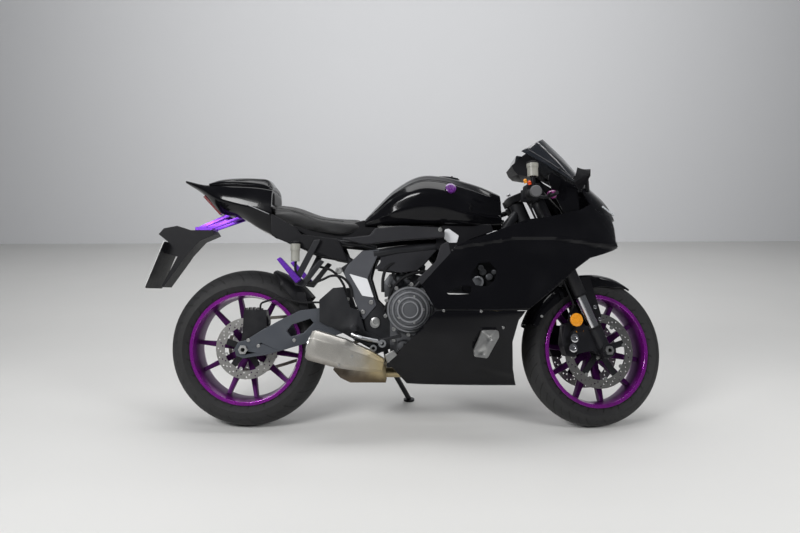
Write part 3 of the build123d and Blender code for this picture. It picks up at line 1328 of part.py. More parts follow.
FENDER_START = -70
FENDER_ARC = 104
FENDER_WALL = 3
FENDER_HALF = FRONT_TYRE_HALF + 9
FENDER_INNER = FRONT_TYRE_RADIUS + 9
FENDER_STAY = 86
with BuildPart() as front_fender:
    with BuildSketch(wheel_plane(FRONT_AXLE, FENDER_START)):
        Polygon(*arch(FENDER_HALF, FENDER_INNER, FENDER_WALL, 0.5, 52), align=None)
    revolve(axis=Axis(FRONT_AXLE, (0, 1, 0)), revolution_arc=FENDER_ARC)
    for sign in SIDES.values():
        with BuildSketch(Plane(HEAD.location * Location((0, sign * FENDER_HALF, 0), (90, 0, 0)))):
            Polygon((26, 74), (50, 74), (54, FENDER_INNER - 44), (18, FENDER_INNER - 44), align=None)
        extrude(amount=-sign * (FENDER_WALL + 1))
        stay_start = head_point(FORK_OFFSET, sign * FENDER_HALF, FENDER_STAY)
        rod(stay_start, head_point(FORK_OFFSET, sign * FORK_EAR, FENDER_STAY), 10)
    for side in SIDES:
        add(pieces[f"fork_{side}"].part, mode=Mode.SUBTRACT)
pieces["front_fender"] = front_fender

steered_pieces = [
    "fork_right", "fork_left", "yokes", "handlebar_right", "handlebar_left", "front_calipers",
    "front_reservoir", "fork_reflectors", "front_fender", "front_brake_hoses", "front_axle",
    "front_tyre", "front_rim", "front_discs",
]


# ---------------------------------------------------------------- side stand
with BuildPart() as side_stand:
    rod(STAND_PIVOT, FOOT + SOLE.z_dir * STAND_PAD_THICKNESS, STAND_LEG)
    for way in (STAND_AXIS, -STAND_AXIS):
        eye_face = STAND_PIVOT + way * STAND_EYE_HALF
        rod(eye_face, eye_face + way * STAND_EYE, STAND_EYE + RUNNING_GAP, Mode.SUBTRACT)
    rod(STAND_PIVOT - STAND_AXIS * STAND_EYE_HALF, STAND_PIVOT + STAND_AXIS * STAND_EYE_HALF, STAND_EYE)
    pin_reach = STAND_AXIS * STAND_EYE
    rod(STAND_PIVOT - pin_reach, STAND_PIVOT + pin_reach, STAND_PIN + FIT, Mode.SUBTRACT)
    with BuildSketch(SOLE):
        Circle(STAND_PAD)
    extrude(amount=STAND_PAD_THICKNESS)
pieces["side_stand"] = side_stand

# ---------------------------------------------------------------- parked
os.makedirs("parts", exist_ok=True)
for name, piece in pieces.items():
    piece.part.move(PARKED * STEERED if name in steered_pieces else PARKED)
boxes = [piece.part.bounding_box() for piece in pieces.values()]
FOOTPRINT = (
    (min(box.min.X for box in boxes) + max(box.max.X for box in boxes)) / 2,
    (min(box.min.Y for box in boxes) + max(box.max.Y for box in boxes)) / 2,
)
CENTRED = Location((-FOOTPRINT[0], -FOOTPRINT[1], 0))
for name, piece in pieces.items():
    piece.part.move(CENTRED)
    piece.part.label = name
    export_step(piece.part, f"parts/{name}.step")
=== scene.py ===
import bmesh
import bpy
import json
from math import cos, pi, radians, sin
from mathutils import Matrix, Vector


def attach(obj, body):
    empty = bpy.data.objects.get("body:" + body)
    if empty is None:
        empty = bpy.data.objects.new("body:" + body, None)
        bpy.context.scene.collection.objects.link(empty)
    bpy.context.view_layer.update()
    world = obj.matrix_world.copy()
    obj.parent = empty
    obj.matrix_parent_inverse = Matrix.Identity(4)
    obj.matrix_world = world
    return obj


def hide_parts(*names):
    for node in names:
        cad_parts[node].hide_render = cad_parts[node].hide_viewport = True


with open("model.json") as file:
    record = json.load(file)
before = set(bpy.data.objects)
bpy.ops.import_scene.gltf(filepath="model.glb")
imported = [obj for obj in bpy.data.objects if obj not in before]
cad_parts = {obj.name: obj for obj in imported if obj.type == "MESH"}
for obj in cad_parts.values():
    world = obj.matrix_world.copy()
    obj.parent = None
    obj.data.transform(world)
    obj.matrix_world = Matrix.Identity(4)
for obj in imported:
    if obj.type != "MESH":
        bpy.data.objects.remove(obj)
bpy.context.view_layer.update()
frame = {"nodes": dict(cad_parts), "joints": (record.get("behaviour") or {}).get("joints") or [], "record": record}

# ---------------------------------------------------------------- where the bike stands
# Pieces are drawn in millimetres on the upright bike: X forward, Y to its left, Z up, with the
# drawing's origin on the floor under the rear axle. BIKE and STEERED lean and turn them.
MM = 0.001
RAKE = radians(23.67)
WHEELBASE = 1395
REAR_RADIUS = 315
FRONT_RADIUS = 300
joints = {joint["name"]: joint for joint in frame["joints"]}


def upright_axes(across, up_axis):
    """The bike's own X, Y and Z, from the way its left points and the way its steering axis runs."""
    forward_axis = across.cross(up_axis).normalized()
    forward = forward_axis * cos(RAKE) - up_axis * sin(RAKE)
    up = forward_axis * sin(RAKE) + up_axis * cos(RAKE)
    return forward, across, up


def drawing_place(wheel_joint, axle):
    """The matrix that carries the drawing to where this wheel's axle stands."""
    across = Vector(joints[wheel_joint]["axis"]).normalized()
    steering = Vector(joints["steering_head"]["axis"]).normalized()
    turn = Matrix(upright_axes(across, steering)).transposed()
    origin = Vector(joints[wheel_joint]["pos_m"]) - turn @ (Vector(axle) * MM)
    return Matrix.Translation(origin) @ turn.to_4x4() @ Matrix.Scale(MM, 4)


BIKE = drawing_place("rear_wheel_spin", (0, 0, REAR_RADIUS))
STEERED = drawing_place("front_wheel_spin", (WHEELBASE, 0, FRONT_RADIUS))
REAR_AXLE = Vector((0, 0, REAR_RADIUS))
FRONT_AXLE = Vector((WHEELBASE, 0, FRONT_RADIUS))
SIDES = {"right": -1, "left": 1}
ON_FORK = {"body": "steering", "place": STEERED}
RIGHT, LEFT = (0, -1, 0), (0, 1, 0)
FORWARD, UP = (1, 0, 0), (0, 0, 1)
STEERING_AHEAD = Vector((cos(RAKE), 0, sin(RAKE)))
STEERING_UP = Vector((-sin(RAKE), 0, cos(RAKE)))
FORK_OFFSET = 38
FORK_SPREAD = 105


def head_point(forward, across, up):
    """A point given in the steering head's frame."""
    return FRONT_AXLE + STEERING_AHEAD * (forward - FORK_OFFSET) + STEERING_UP * up + Vector((0, across, 0))


def wheel_point(axle, radius, turn, across):
    """A point round an axle, this far out, at this turn and this far across the bike."""
    return axle + Vector((radius * cos(turn), across, radius * sin(turn)))


# ---------------------------------------------------------------- shader kit
class Signal:
    """A shader socket that takes part in sums."""

    def __init__(self, finish, socket):
        self.finish = finish
        self.socket = socket

    def sum(self, operation, first, second):
        return self.finish.node("ShaderNodeMath", {"operation": operation}, {0: first, 1: second})

    def __add__(self, other):
        return self.sum("ADD", self, other)

    def __sub__(self, other):
        return self.sum("SUBTRACT", self, other)

    def __rsub__(self, other):
        return self.sum("SUBTRACT", other, self)

    def __mul__(self, other):
        return self.sum("MULTIPLY", self, other)

    def __truediv__(self, other):
        return self.sum("DIVIDE", self, other)

    def __lt__(self, other):
        return self.sum("LESS_THAN", self, other)

    def __mod__(self, other):
        return self.sum("FLOORED_MODULO", self, other)

    __radd__ = __add__
    __rmul__ = __mul__

    def size(self):
        return self.sum("ABSOLUTE", self, 0)

    def ramp(self, low, high, start=0.0, end=1.0):
        """A smooth rise from start to end while this goes from low to high."""
        return self.finish.node(
            "ShaderNodeMapRange", {"interpolation_type": "SMOOTHSTEP"},
            {0: self, 1: low, 2: high, 3: start, 4: end},
        )


class Finish:
    """A material under construction: one Principled shader and what feeds it."""

    def __init__(self, name, colour, **fixed):
        self.material = bpy.data.materials.new(name)
        self.material.use_nodes = True
        self.material.diffuse_color = (*colour, 1)
        self.tree = self.material.node_tree
        self.shader = self.tree.nodes["Principled BSDF"]
        self.colour = colour
        self.set(base_color=(*colour, 1), **fixed)

    def put(self, socket, value):
        if isinstance(value, Signal):
            self.tree.links.new(value.socket, socket)
        else:
            socket.default_value = value

    def set(self, **sockets):
        for name, value in sockets.items():
            self.put(self.shader.inputs[name.replace("_", " ").title().replace("Ior", "IOR")], value)

    def node(self, kind, settings, sockets, output=0):
        """Any node: its settings first, then the values or links of its sockets."""
        node = self.tree.nodes.new(kind)
        for setting, value in settings.items():
            setattr(node, setting, value)
        for name, value in sockets.items():
            self.put(node.inputs[name], value)
        return Signal(self, node.outputs[output])

    def place(self, origin=None, turn=None, stretch=(1, 1, 1)):
        """Object coordinates, or those of a frame at an origin with a turn."""
        coordinates = self.node("ShaderNodeTexCoord", {}, {}, "Object")
        if origin is None:
            return self.node("ShaderNodeMapping", {}, {"Vector": coordinates, "Scale": stretch})
        return self.node(
            "ShaderNodeMapping", {"vector_type": "TEXTURE"},
            {"Vector": coordinates, "Location": origin, "Rotation": turn, "Scale": stretch},
        )

    def axes(self, place):
        parts = self.node("ShaderNodeSeparateXYZ", {}, {0: place})
        return parts, *(Signal(self, parts.socket.node.outputs[index]) for index in (1, 2))

    def noise(self, scale, detail=3, place=None, roughness=0.5):
        return self.node(
            "ShaderNodeTexNoise", {},
            {"Vector": place or self.place(), "Scale": scale, "Detail": detail, "Roughness": roughness},
        )

    def cells(self, scale, feature="F1", place=None):
        return self.node(
            "ShaderNodeTexVoronoi", {"feature": feature}, {"Vector": place or self.place(), "Scale": scale},
        )

    def blend(self, share, first, second):
        """A colour between two, by a share from 0 to 1."""
        ends = [end if isinstance(end, Signal) else (*end, 1) for end in (first, second)]
        return self.node("ShaderNodeMix", {"data_type": "RGBA"}, {0: share, 6: ends[0], 7: ends[1]}, 2)

    def bump(self, height, distance, strength=1.0):
        self.set(normal=self.node(
            "ShaderNodeBump", {}, {"Height": height, "Distance": distance, "Strength": strength},
        ))

    def round_axle(self, place, axle):
        """Forward, across and up from a wheel's middle, and the distance out from its axle."""
        forward, across, up = self.axes(self.place(*wheel_frame(place, axle)))
        flat = self.node("ShaderNodeCombineXYZ", {}, {0: forward, 1: up})
        out = self.node("ShaderNodeVectorMath", {"operation": "LENGTH"}, {0: flat}, 1)
        return forward, across, up, out


# ---------------------------------------------------------------- finishes
def dusty(finish, dust, amount, scale=7):
    """Faint dust that lies unevenly over a surface."""
    patches = finish.noise(scale, 6).ramp(0.45, 0.75) * amount
    finish.set(base_color=finish.blend(patches, finish.colour, dust))
    return patches


def gloss_black():
    finish = Finish("gloss_black", (0.0035, 0.0035, 0.0045), coat_weight=0.45, coat_roughness=0.02,
                    coat_ior=1.32, specular_ior_level=0.12)
    patches = dusty(finish, (0.03, 0.03, 0.033), 0.08)
    finish.set(roughness=0.10 + finish.noise(40, 4) * 0.05 + patches)
    finish.bump(finish.noise(9, 2), 0.0006, 0.12)
    return finish.material


def satin_plastic(name, colour, roughness=0.5, grain=900):
    finish = Finish(name, colour, specular_ior_level=0.16)
    patches = dusty(finish, tuple(0.012 + part for part in colour), 0.3)
    finish.set(roughness=roughness + finish.noise(60, 5) * 0.14 + patches * 0.3)
    finish.bump(finish.cells(grain), 0.0002, 0.35)
    return finish.material


# How far from the axle, in metres, the painted light on a wheel's lip begins and where it is full; inward of it
# the violet is painted in shade.
PAINTED_LIGHT_RAMP = (0.202, 0.211)


def candy_violet_painted_shade(name, place, axle):
    """Violet lacquer over metal flake, with painted light at the rim and painted shade towards the hub, where the
    spokes are painted near black.
    """
    finish = Finish(name, (0.22, 0.012, 0.26), coat_weight=1.0, coat_roughness=0.05, metallic=0.7)
    _, _, _, out = finish.round_axle(place, axle)
    flakes = finish.cells(2600).ramp(0.1, 0.6)
    # Lit and shaded copies of the violet: the bright one is painted light at the lip, the dark one painted shade
    # on spokes and hub.
    painted_lit_violet = finish.blend(flakes, (0.46, 0.022, 0.50), (0.24, 0.010, 0.30))
    painted_shade_violet = finish.blend(flakes, (0.11, 0.008, 0.13), (0.05, 0.005, 0.07))
    grime = finish.noise(14, 6).ramp(0.5, 0.72) * 0.4
    # Painted light by distance from the axle: full at the lip, none on spokes and hub; the coat follows it.
    painted_light_share = out.ramp(*PAINTED_LIGHT_RAMP)
    finish.set(base_color=finish.blend(grime, finish.blend(painted_light_share, painted_shade_violet, painted_lit_violet), (0.02, 0.008, 0.014)))
    finish.set(roughness=0.44 - painted_light_share * 0.18 + grime * 0.3, coat_weight=painted_light_share)
    return finish.material


def violet_anodised():
    finish = Finish("violet_anodised", (0.13, 0.03, 0.40), metallic=0.8)
    streaks = finish.noise(120, 3, finish.place(stretch=(1, 1, 12)))
    finish.set(base_color=finish.blend(streaks.ramp(0.3, 0.7), (0.10, 0.02, 0.34), (0.19, 0.05, 0.52)))
    finish.set(roughness=0.3 + streaks * 0.12)
    return finish.material


def bare_metal(name, colour, roughness=0.3, brushed=(1, 1, 14), grime=0.35):
    finish = Finish(name, colour, metallic=1.0)
    brushing = finish.noise(160, 4, finish.place(stretch=brushed))
    dirt = finish.noise(22, 6).ramp(0.48, 0.74) * grime
    dark = tuple(part * 0.3 for part in colour)
    finish.set(base_color=finish.blend(dirt, colour, dark))
    finish.set(roughness=roughness + brushing * 0.16 + dirt * 0.3)
    finish.bump(brushing, 0.0002, 0.12)
    return finish.material


def painted_casting(name, colour, metallic=0.35, roughness=0.42, grit=420):
    finish = Finish(name, colour, metallic=metallic, specular_ior_level=0.35)
    patches = dusty(finish, tuple(0.02 + part for part in colour), 0.4, 11)
    finish.set(roughness=roughness + finish.noise(80, 5) * 0.2 + patches * 0.2)
    finish.bump(finish.noise(grit, 5, roughness=0.7), 0.0005, 0.35)
    return finish.material


SILENCER_MIDDLE = (400, -173, 303)
SILENCER_RISE = radians(16)
SILENCER_PLACE = BIKE @ Matrix.Translation(SILENCER_MIDDLE) @ Matrix.Rotation(SILENCER_RISE, 4, "Y")


def heated_silencer():
    """Brushed titanium that turns gold towards the engine and darker towards the bottom."""
    finish = Finish("silencer_titanium", (0.50, 0.46, 0.40), metallic=1.0)
    along, _, height = finish.axes(finish.place(SILENCER_PLACE.to_translation(), SILENCER_PLACE.to_euler()))
    cloud = finish.noise(16, 5)
    cool = (along * -1 + cloud * 0.12).ramp(-0.09, 0.05)
    # Darker and browner towards the bottom of the silencer, and rougher there.
    darker_below = (height * -1 + cloud * 0.07).ramp(0.06, 0.12) * 0.85
    brushed = finish.noise(220, 3, finish.place(stretch=(1, 16, 16)))
    metal = finish.blend(brushed.ramp(0.3, 0.7), (0.42, 0.405, 0.375), (0.60, 0.58, 0.54))
    gold = finish.blend(cool, (0.50, 0.41, 0.24), metal)
    finish.set(base_color=finish.blend(darker_below, gold, (0.10, 0.07, 0.045)))
    finish.set(roughness=0.34 + brushed * 0.14 + darker_below * 0.2)
    finish.bump(brushed, 0.0002, 0.15)
    return finish.material


def wheel_frame(place, axle):
    """Where a wheel's middle stands, and its turn."""
    turned = place.copy()
    turned.translation = place @ axle
    return turned.to_translation(), turned.to_euler()


def tyre_rubber(name, place, axle, radius, half):
    """Rubber with sipes across the tread, fine rings on the wall and a worn, paler crown; the sipes are painted
    near black as painted shade in the grooves.
    """
    finish = Finish(name, (0.022, 0.022, 0.023))
    forward, across, up, out = finish.round_axle(place, axle)
    angle = finish.node("ShaderNodeMath", {"operation": "ARCTAN2"}, {0: up, 1: forward})
    aside = across.size() / (half * MM)
    turns = (angle / (2 * pi) + aside * 0.045) * 22
    sipe = ((turns % 1) - 0.5).size() < 0.045
    shorter = (((turns + 0.5) % 1) - 0.5).size() < 0.03
    tread = aside.ramp(0.10, 0.14) * (1 - aside.ramp(0.86, 0.92))
    outer = aside.ramp(0.45, 0.48) * (1 - aside.ramp(0.80, 0.86))
    groove_and_painted_shade = sipe * tread + shorter * outer
    wall = 1 - ((out - (radius - 0.42 * half) * MM) * 400).ramp(-1, 1)
    rings = ((out * (1 / 0.0042)) % 1).ramp(0.35, 0.65) * wall * 0.12
    wear = finish.noise(60, 6)
    scuffed = aside.ramp(0.0, 0.8, 0.55, 0.0) * wear
    pale = finish.blend(scuffed + wall * 0.12, (0.013, 0.013, 0.014), (0.042, 0.041, 0.039))
    # The sipes are painted near black, darker than unworn rubber: painted shade in the grooves.
    finish.set(base_color=finish.blend(groove_and_painted_shade, pale, (0.004, 0.004, 0.004)))
    finish.set(roughness=0.62 + wear * 0.2)
    finish.bump(1 - groove_and_painted_shade + rings + finish.noise(700, 3) * 0.06, 0.002, 0.8)
    return finish.material


def turned_disc(name, place, axle, carrier):
    """Bare steel turned round its centre, on a black carrier of this radius."""
    finish = Finish(name, (0.52, 0.51, 0.49), metallic=1.0)
    _, _, _, out = finish.round_axle(place, axle)
    rings = finish.noise(1, 4, finish.node("ShaderNodeCombineXYZ", {}, {0: out * 1400}))
    steel = finish.blend(rings, (0.34, 0.33, 0.32), (0.54, 0.53, 0.51))
    swept = out.ramp(carrier - 0.0005, carrier + 0.0005)
    finish.set(base_color=finish.blend(swept, (0.016, 0.016, 0.018), steel))
    finish.set(roughness=0.28 + rings * 0.16, metallic=0.4 + swept * 0.6)
    finish.bump(rings, 0.0002, 0.3)
    return finish.material


def grained_vinyl():
    finish = Finish("seat_vinyl", (0.02, 0.02, 0.021), sheen_weight=0.12)
    pores = finish.cells(620, "SMOOTH_F1")
    patches = dusty(finish, (0.06, 0.06, 0.06), 0.4, 12)
    finish.set(roughness=0.42 + pores * 0.25 + patches * 0.2)
    finish.bump(pores, 0.0004, 0.5)
    return finish.material


def clear_lens(name, colour, roughness=0.05, alpha=0.35):
    finish = Finish(name, colour, coat_weight=1.0, alpha=alpha)
    haze = finish.noise(30, 5)
    finish.set(roughness=roughness + haze * 0.05)
    return finish.material


def coloured_lens(name, colour, ribs=330):
    finish = Finish(name, colour, coat_weight=1.0, coat_roughness=0.04)
    prisms = finish.cells(ribs, "DISTANCE_TO_EDGE").ramp(0.0, 0.1)
    finish.set(base_color=finish.blend(prisms, tuple(part * 0.45 for part in colour), colour))
    finish.set(roughness=0.2 + prisms * 0.1)
    finish.bump(prisms, 0.0006, 0.5)
    return finish.material


def milky_plastic():
    finish = Finish("fluid_plastic", (0.30, 0.30, 0.27), alpha=0.92)
    level = finish.noise(12, 3)
    finish.set(base_color=finish.blend(level, (0.24, 0.235, 0.20), (0.36, 0.36, 0.33)))
    finish.set(roughness=0.34 + level * 0.1)
    return finish.material


GLOSS = gloss_black()
SATIN = satin_plastic("satin_black", (0.008, 0.008, 0.0095), 0.42)
COVER = satin_plastic("cover_grey", (0.024, 0.024, 0.027), 0.32, 1400)
REAR_VIOLET = candy_violet_painted_shade("candy_violet_rear", BIKE, REAR_AXLE)
FRONT_VIOLET = candy_violet_painted_shade("candy_violet_front", STEERED, FRONT_AXLE)
ANODISED = violet_anodised()
STEEL = bare_metal("bright_steel", (0.56, 0.56, 0.55))
FORK_BLACK = painted_casting("fork_black", (0.010, 0.010, 0.012), 0.2, 0.28)
FRAME_GREY = painted_casting("frame_grey", (0.016, 0.0165, 0.019), 0.3, 0.34)
ENGINE_GREY = painted_casting("engine_grey", (0.085, 0.088, 0.095), 0.3, 0.36)
ALUMINIUM = bare_metal("brushed_aluminium", (0.62, 0.63, 0.65), 0.26, (14, 1, 1), 0.12)
SILENCER = heated_silencer()
REAR_RUBBER = tyre_rubber("tyre_rubber_rear", BIKE, REAR_AXLE, REAR_RADIUS, 90)
FRONT_RUBBER = tyre_rubber("tyre_rubber_front", STEERED, FRONT_AXLE, FRONT_RADIUS, 60)
REAR_DISC = turned_disc("disc_steel_rear", BIKE, REAR_AXLE, 0.084)
FRONT_DISC = turned_disc("disc_steel_front", STEERED, FRONT_AXLE, 0.113)
VINYL = grained_vinyl()
LENS_RED = coloured_lens("lamp_red", (0.20, 0.005, 0.009))
LENS_AMBER = coloured_lens("amber", (0.80, 0.30, 0.01))
LENS_CLEAR = clear_lens("lamp_glass", (0.8, 0.82, 0.85))
SCREEN = clear_lens("smoked_screen", (0.010, 0.012, 0.016), 0.06, 0.88)
MILKY = milky_plastic()
# The blank plate's pale plastic; it also paints the highlight along the fairing's vent slot.
PLATE_AND_SLOT_HIGHLIGHT = satin_plastic("blank_plate", (0.55, 0.55, 0.54), 0.3, 200)
RADIATOR = painted_casting("radiator_black", (0.012, 0.012, 0.013), 0.3, 0.5)
CAST_BRIGHT = painted_casting("engine_edge", (0.26, 0.265, 0.28), 0.4, 0.3)
ARM_GREY = painted_casting("arm_grey", (0.060, 0.066, 0.078), 0.25, 0.36)
BAR_GREY = painted_casting("bar_end_grey", (0.13, 0.13, 0.135), 0.3, 0.36)
FRAME_LIGHT = painted_casting("frame_light", (0.075, 0.078, 0.088), 0.25, 0.34)
# Near-white diffuse finish for the frame's bare metal facets: a painted highlight standing for the light they
# mirror.
FACET_HIGHLIGHT = painted_casting("frame_facet_highlight", (0.72, 0.73, 0.75), 0.1, 0.3)
CHROME = bare_metal("fork_chrome", (0.64, 0.64, 0.66), 0.1, (1, 1, 6), 0.1)
LIGHT_STRIP = coloured_lens("light_strip", (0.62, 0.65, 0.68), 500)
LENS_DARK = coloured_lens("dash_glass", (0.012, 0.014, 0.018), 20)
DISC_VIOLET = coloured_lens("disc_violet", (0.10, 0.014, 0.17), 60)
SWITCH_RED = coloured_lens("switch_red", (0.72, 0.07, 0.012), 40)
KNOB_VIOLET = coloured_lens("knob_violet", (0.22, 0.012, 0.16), 90)
HOSE = satin_plastic("hose_rubber", (0.012, 0.012, 0.013), 0.55, 1600)
CHAIN = bare_metal("chain_steel", (0.30, 0.28, 0.24), 0.38, (1, 1, 1), 0.7)

SLOT_FINISH = {
    "tyre_rubber": REAR_RUBBER, "violet_wheel": REAR_VIOLET, "disc_steel": REAR_DISC,
    "violet_anodised": ANODISED, "gloss_black": GLOSS, "satin_black": SATIN, "cover_grey": COVER,
    "frame_grey": FRAME_GREY, "engine_grey": ENGINE_GREY, "bright_steel": STEEL, "fork_black": FORK_BLACK,
    "silencer_titanium": SILENCER, "radiator_black": RADIATOR, "seat_vinyl": VINYL, "lamp_red": LENS_RED,
    "lamp_glass": LENS_CLEAR, "amber": LENS_AMBER, "smoked_screen": SCREEN, "fluid_plastic": MILKY,
    "blank_plate": PLATE_AND_SLOT_HIGHLIGHT, "stand_black": FORK_BLACK, "hose_rubber": HOSE,
}
NODE_FINISH = {
    "front_rim": FRONT_VIOLET, "front_tyre": FRONT_RUBBER, "front_discs": FRONT_DISC,
    "swingarm": ARM_GREY, "chain": CHAIN,
}
for part in frame["record"]["subparts"]:
    finish = NODE_FINISH.get(part["node"], SLOT_FINISH[part["material_slot"]])
    slots = frame["nodes"][part["node"]].data.materials
    slots.clear()
    slots.append(finish)


# ---------------------------------------------------------------- mesh kit
def settled(name, mesh, finish, slot, body="chassis", place=BIKE, stands_for=(), sharp=34):
    """A finished mesh in place: faces outward, edges past an angle kept sharp, riding on its body."""
    mesh.transform(place)
    bmesh.ops.recalc_face_normals(mesh, faces=mesh.faces)
    data = bpy.data.meshes.new(name)
    mesh.to_mesh(data)
    mesh.free()
    data.materials.append(finish)
    data.shade_smooth()
    data.set_sharp_from_angle(angle=radians(sharp))
    piece = bpy.data.objects.new(name, data)
    bpy.context.scene.collection.objects.link(piece)
    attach(piece, body)
    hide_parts(*stands_for)
    return piece


def rounded(piece, width, segments=2, angle=40):
    """Rounds a piece's edges by a width in millimetres."""
    bevel = piece.modifiers.new("rounding", "BEVEL")
    bevel.width = width * MM
    bevel.segments = segments
    bevel.limit_method = "ANGLE"
    bevel.angle_limit = radians(angle)


def shelled(piece, thickness, edge):
    """Gives a skin its wall and rounds the wall's edges."""
    wall = piece.modifiers.new("wall", "SOLIDIFY")
    wall.thickness = thickness * MM
    wall.offset = -1
    rounded(piece, edge, 2, 50)


def softened(node, width, angle=32):
    """A CAD node's own shape, with its edges past an angle rounded."""
    part = next(part for part in frame["record"]["subparts"] if part["node"] == node)
    body = next(name for name, nodes in frame["record"]["behaviour"]["bodies"].items() if node in nodes)
    source = frame["nodes"][node]
    mesh = bmesh.new()
    mesh.from_mesh(source.data)
    mesh.transform(source.matrix_world)
    bmesh.ops.remove_doubles(mesh, verts=mesh.verts, dist=0.00001)
    finish, slot = source.data.materials[0], part["material_slot"]
    rounded(settled(f"{node}_shape", mesh, finish, slot, body, Matrix(), (node,), angle), width, 2, angle)


def eased(knots, rows, pieces):
    """Stations filled in between by a smooth curve through them: (place, row of numbers) in turn."""
    slopes = []
    for index in range(len(knots)):
        low, high = max(index - 1, 0), min(index + 1, len(knots) - 1)
        reach = knots[high] - knots[low]
        slopes.append([(after - before) / reach for before, after in zip(rows[low], rows[high])])
    filled = []
    for index in range(len(knots) - 1):
        span = knots[index + 1] - knots[index]
        for step in range(pieces + (index == len(knots) - 2)):
            t = step / pieces
            filled.append((knots[index] + t * span, [
                (2 * t**3 - 3 * t**2 + 1) * start + (t**3 - 2 * t**2 + t) * span * leave
                + (3 * t**2 - 2 * t**3) * end + (t**3 - t**2) * span * arrive
                for start, end, leave, arrive in zip(
                    rows[index], rows[index + 1], slopes[index], slopes[index + 1])
            ]))
    return filled


def outline(points, bow, corner, closed=True, samples=4):
    """A dense outline through corners: each corner cut round and each run between them bowed outward."""
    points = [Vector(point) for point in points]
    count = len(points)
    dense = []
    for index, point in enumerate(points):
        before = points[index - 1]
        after = points[(index + 1) % count]
        inner = closed or 0 < index < count - 1
        cut = min(corner, 0.42 * (before - point).length, 0.42 * (after - point).length) if inner else 0
        start = point + (before - point).normalized() * cut
        end = point + (after - point).normalized() * cut
        if inner:
            for step in range(samples + 1):
                t = step / samples
                dense.append(start * (1 - t) ** 2 + point * 2 * t * (1 - t) + end * t**2)
        else:
            dense.append(point)
        if index == count - 1 and not closed:
            break
        next_inner = closed or index + 1 < count - 1
        far = points[(index + 2) % count]
        lengths = (after - point).length, (far - after).length
        next_cut = min(corner, *(0.42 * length for length in lengths)) if next_inner else 0
        run = after - point
        side = Vector((-run.y, run.x))
        run_start = point + run.normalized() * cut
        run_end = after - run.normalized() * next_cut
        for step in range(1, samples):
            t = step / samples
            dense.append(run_start.lerp(run_end, t) + side * bow * 4 * t * (1 - t))
    return dense


def ring_skin(rings, closed=True, capped=True):
    """A skin through rings of points, all with the same count, each joined to the next."""
    mesh = bmesh.new()
    stitch(mesh, rings, closed, capped)
    return mesh


def stitch(mesh, rings, closed=True, capped=True):
    rows = [[mesh.verts.new(point) for point in ring] for ring in rings]
    for row, after in zip(rows, rows[1:]):
        count = len(row)
        for index in range(count if closed else count - 1):
            follow = (index + 1) % count
            mesh.faces.new((row[index], row[follow], after[follow], after[index]))
    if capped:
        mesh.faces.new(rows[0])
        mesh.faces.new(rows[-1])


def hull(stations, bow, corner, pieces=6):
    """A body smooth along X through (X, row, row, ...), each row a half-width and a height."""
    flat = [[number for row in rows for number in row] for _, *rows in stations]
    rings = []
    for x, numbers in eased([station[0] for station in stations], flat, pieces):
        half = list(zip(numbers[::2], numbers[1::2]))
        corners = [(-y, z) for y, z in half[::-1]] + half
        rings.append([(x, point.x, point.y) for point in outline(corners, bow, corner)])
    return ring_skin(rings)


def slab(mesh, edge, rise):
    """Adds a flat piece: a face with this edge, extruded by a rise."""
    face = mesh.faces.new([mesh.verts.new(point) for point in edge])
    grown = bmesh.ops.extrude_face_region(mesh, geom=[face])["geom"]
    raised = [part for part in grown if isinstance(part, bmesh.types.BMVert)]
    bmesh.ops.translate(mesh, vec=rise, verts=raised)


def prism(points, low, high, corner=0):
    """A flat piece with a side outline in X and Z, from one place across the bike to another."""
    mesh = bmesh.new()
    edge = outline(points, 0, corner) if corner else points
    slab(mesh, [(x, low, z) for x, z in edge], (0, high - low, 0))
    return mesh


def spread(count, shift=0.0):
    """Turns spread evenly round a circle."""
    return [2 * pi * (index + shift) / count for index in range(count)]


def barrel(mesh, centre, axis, profile, turns=32, looped=False, side=None):
    """Adds a shape spun round an axis: rows of (along it, radius) from a centre, or a ring if looped."""
    axis = Vector(axis).normalized()
    start = Vector(centre)
    side = Vector(side or axis.orthogonal()).normalized()
    rows = [mesh.verts.new(start + axis * along + side * radius) for along, radius in profile]
    edges = [mesh.edges.new(pair) for pair in zip(rows, rows[1:] + rows[:looped])]
    bmesh.ops.spin(mesh, geom=rows + edges, cent=start, axis=axis, angle=2 * pi, steps=turns, use_merge=True)
    bmesh.ops.holes_fill(mesh, edges=[edge for edge in mesh.edges if edge.is_boundary], sides=0)


def rib(mesh, centre, turn, near, far, half, low, high):
    """Adds a radial rib between two distances from a centre."""
    out = Vector((cos(turn), 0, sin(turn)))
    side = Vector((-sin(turn), 0, cos(turn))) * half
    start = centre + Vector((0, low, 0))
    corners = ((near, -1), (far, -1), (far, 1), (near, 1))
    slab(mesh, [start + out * reach + side * sign for reach, sign in corners], (0, high - low, 0))


def pipe(mesh, points, radius, turns=12, smooth=6):
    """Adds a round bar along a smooth curve through points."""
    points = [Vector(point) for point in points]
    if smooth > 1 and len(points) > 2:
        knots = [0]
        for before, after in zip(points, points[1:]):
            knots.append(knots[-1] + (after - before).length)
        points = [Vector(row) for _, row in eased(knots, [list(point) for point in points], smooth)]
    side = (points[1] - points[0]).orthogonal().normalized()
    rings = []
    for index, point in enumerate(points):
        run = (points[min(index + 1, len(points) - 1)] - points[max(index - 1, 0)]).normalized()
        side = (side - run * side.dot(run)).normalized()
        rings.append([
            point + (side * cos(turn) + run.cross(side) * sin(turn)) * radius for turn in spread(turns)
        ])
    stitch(mesh, rings)


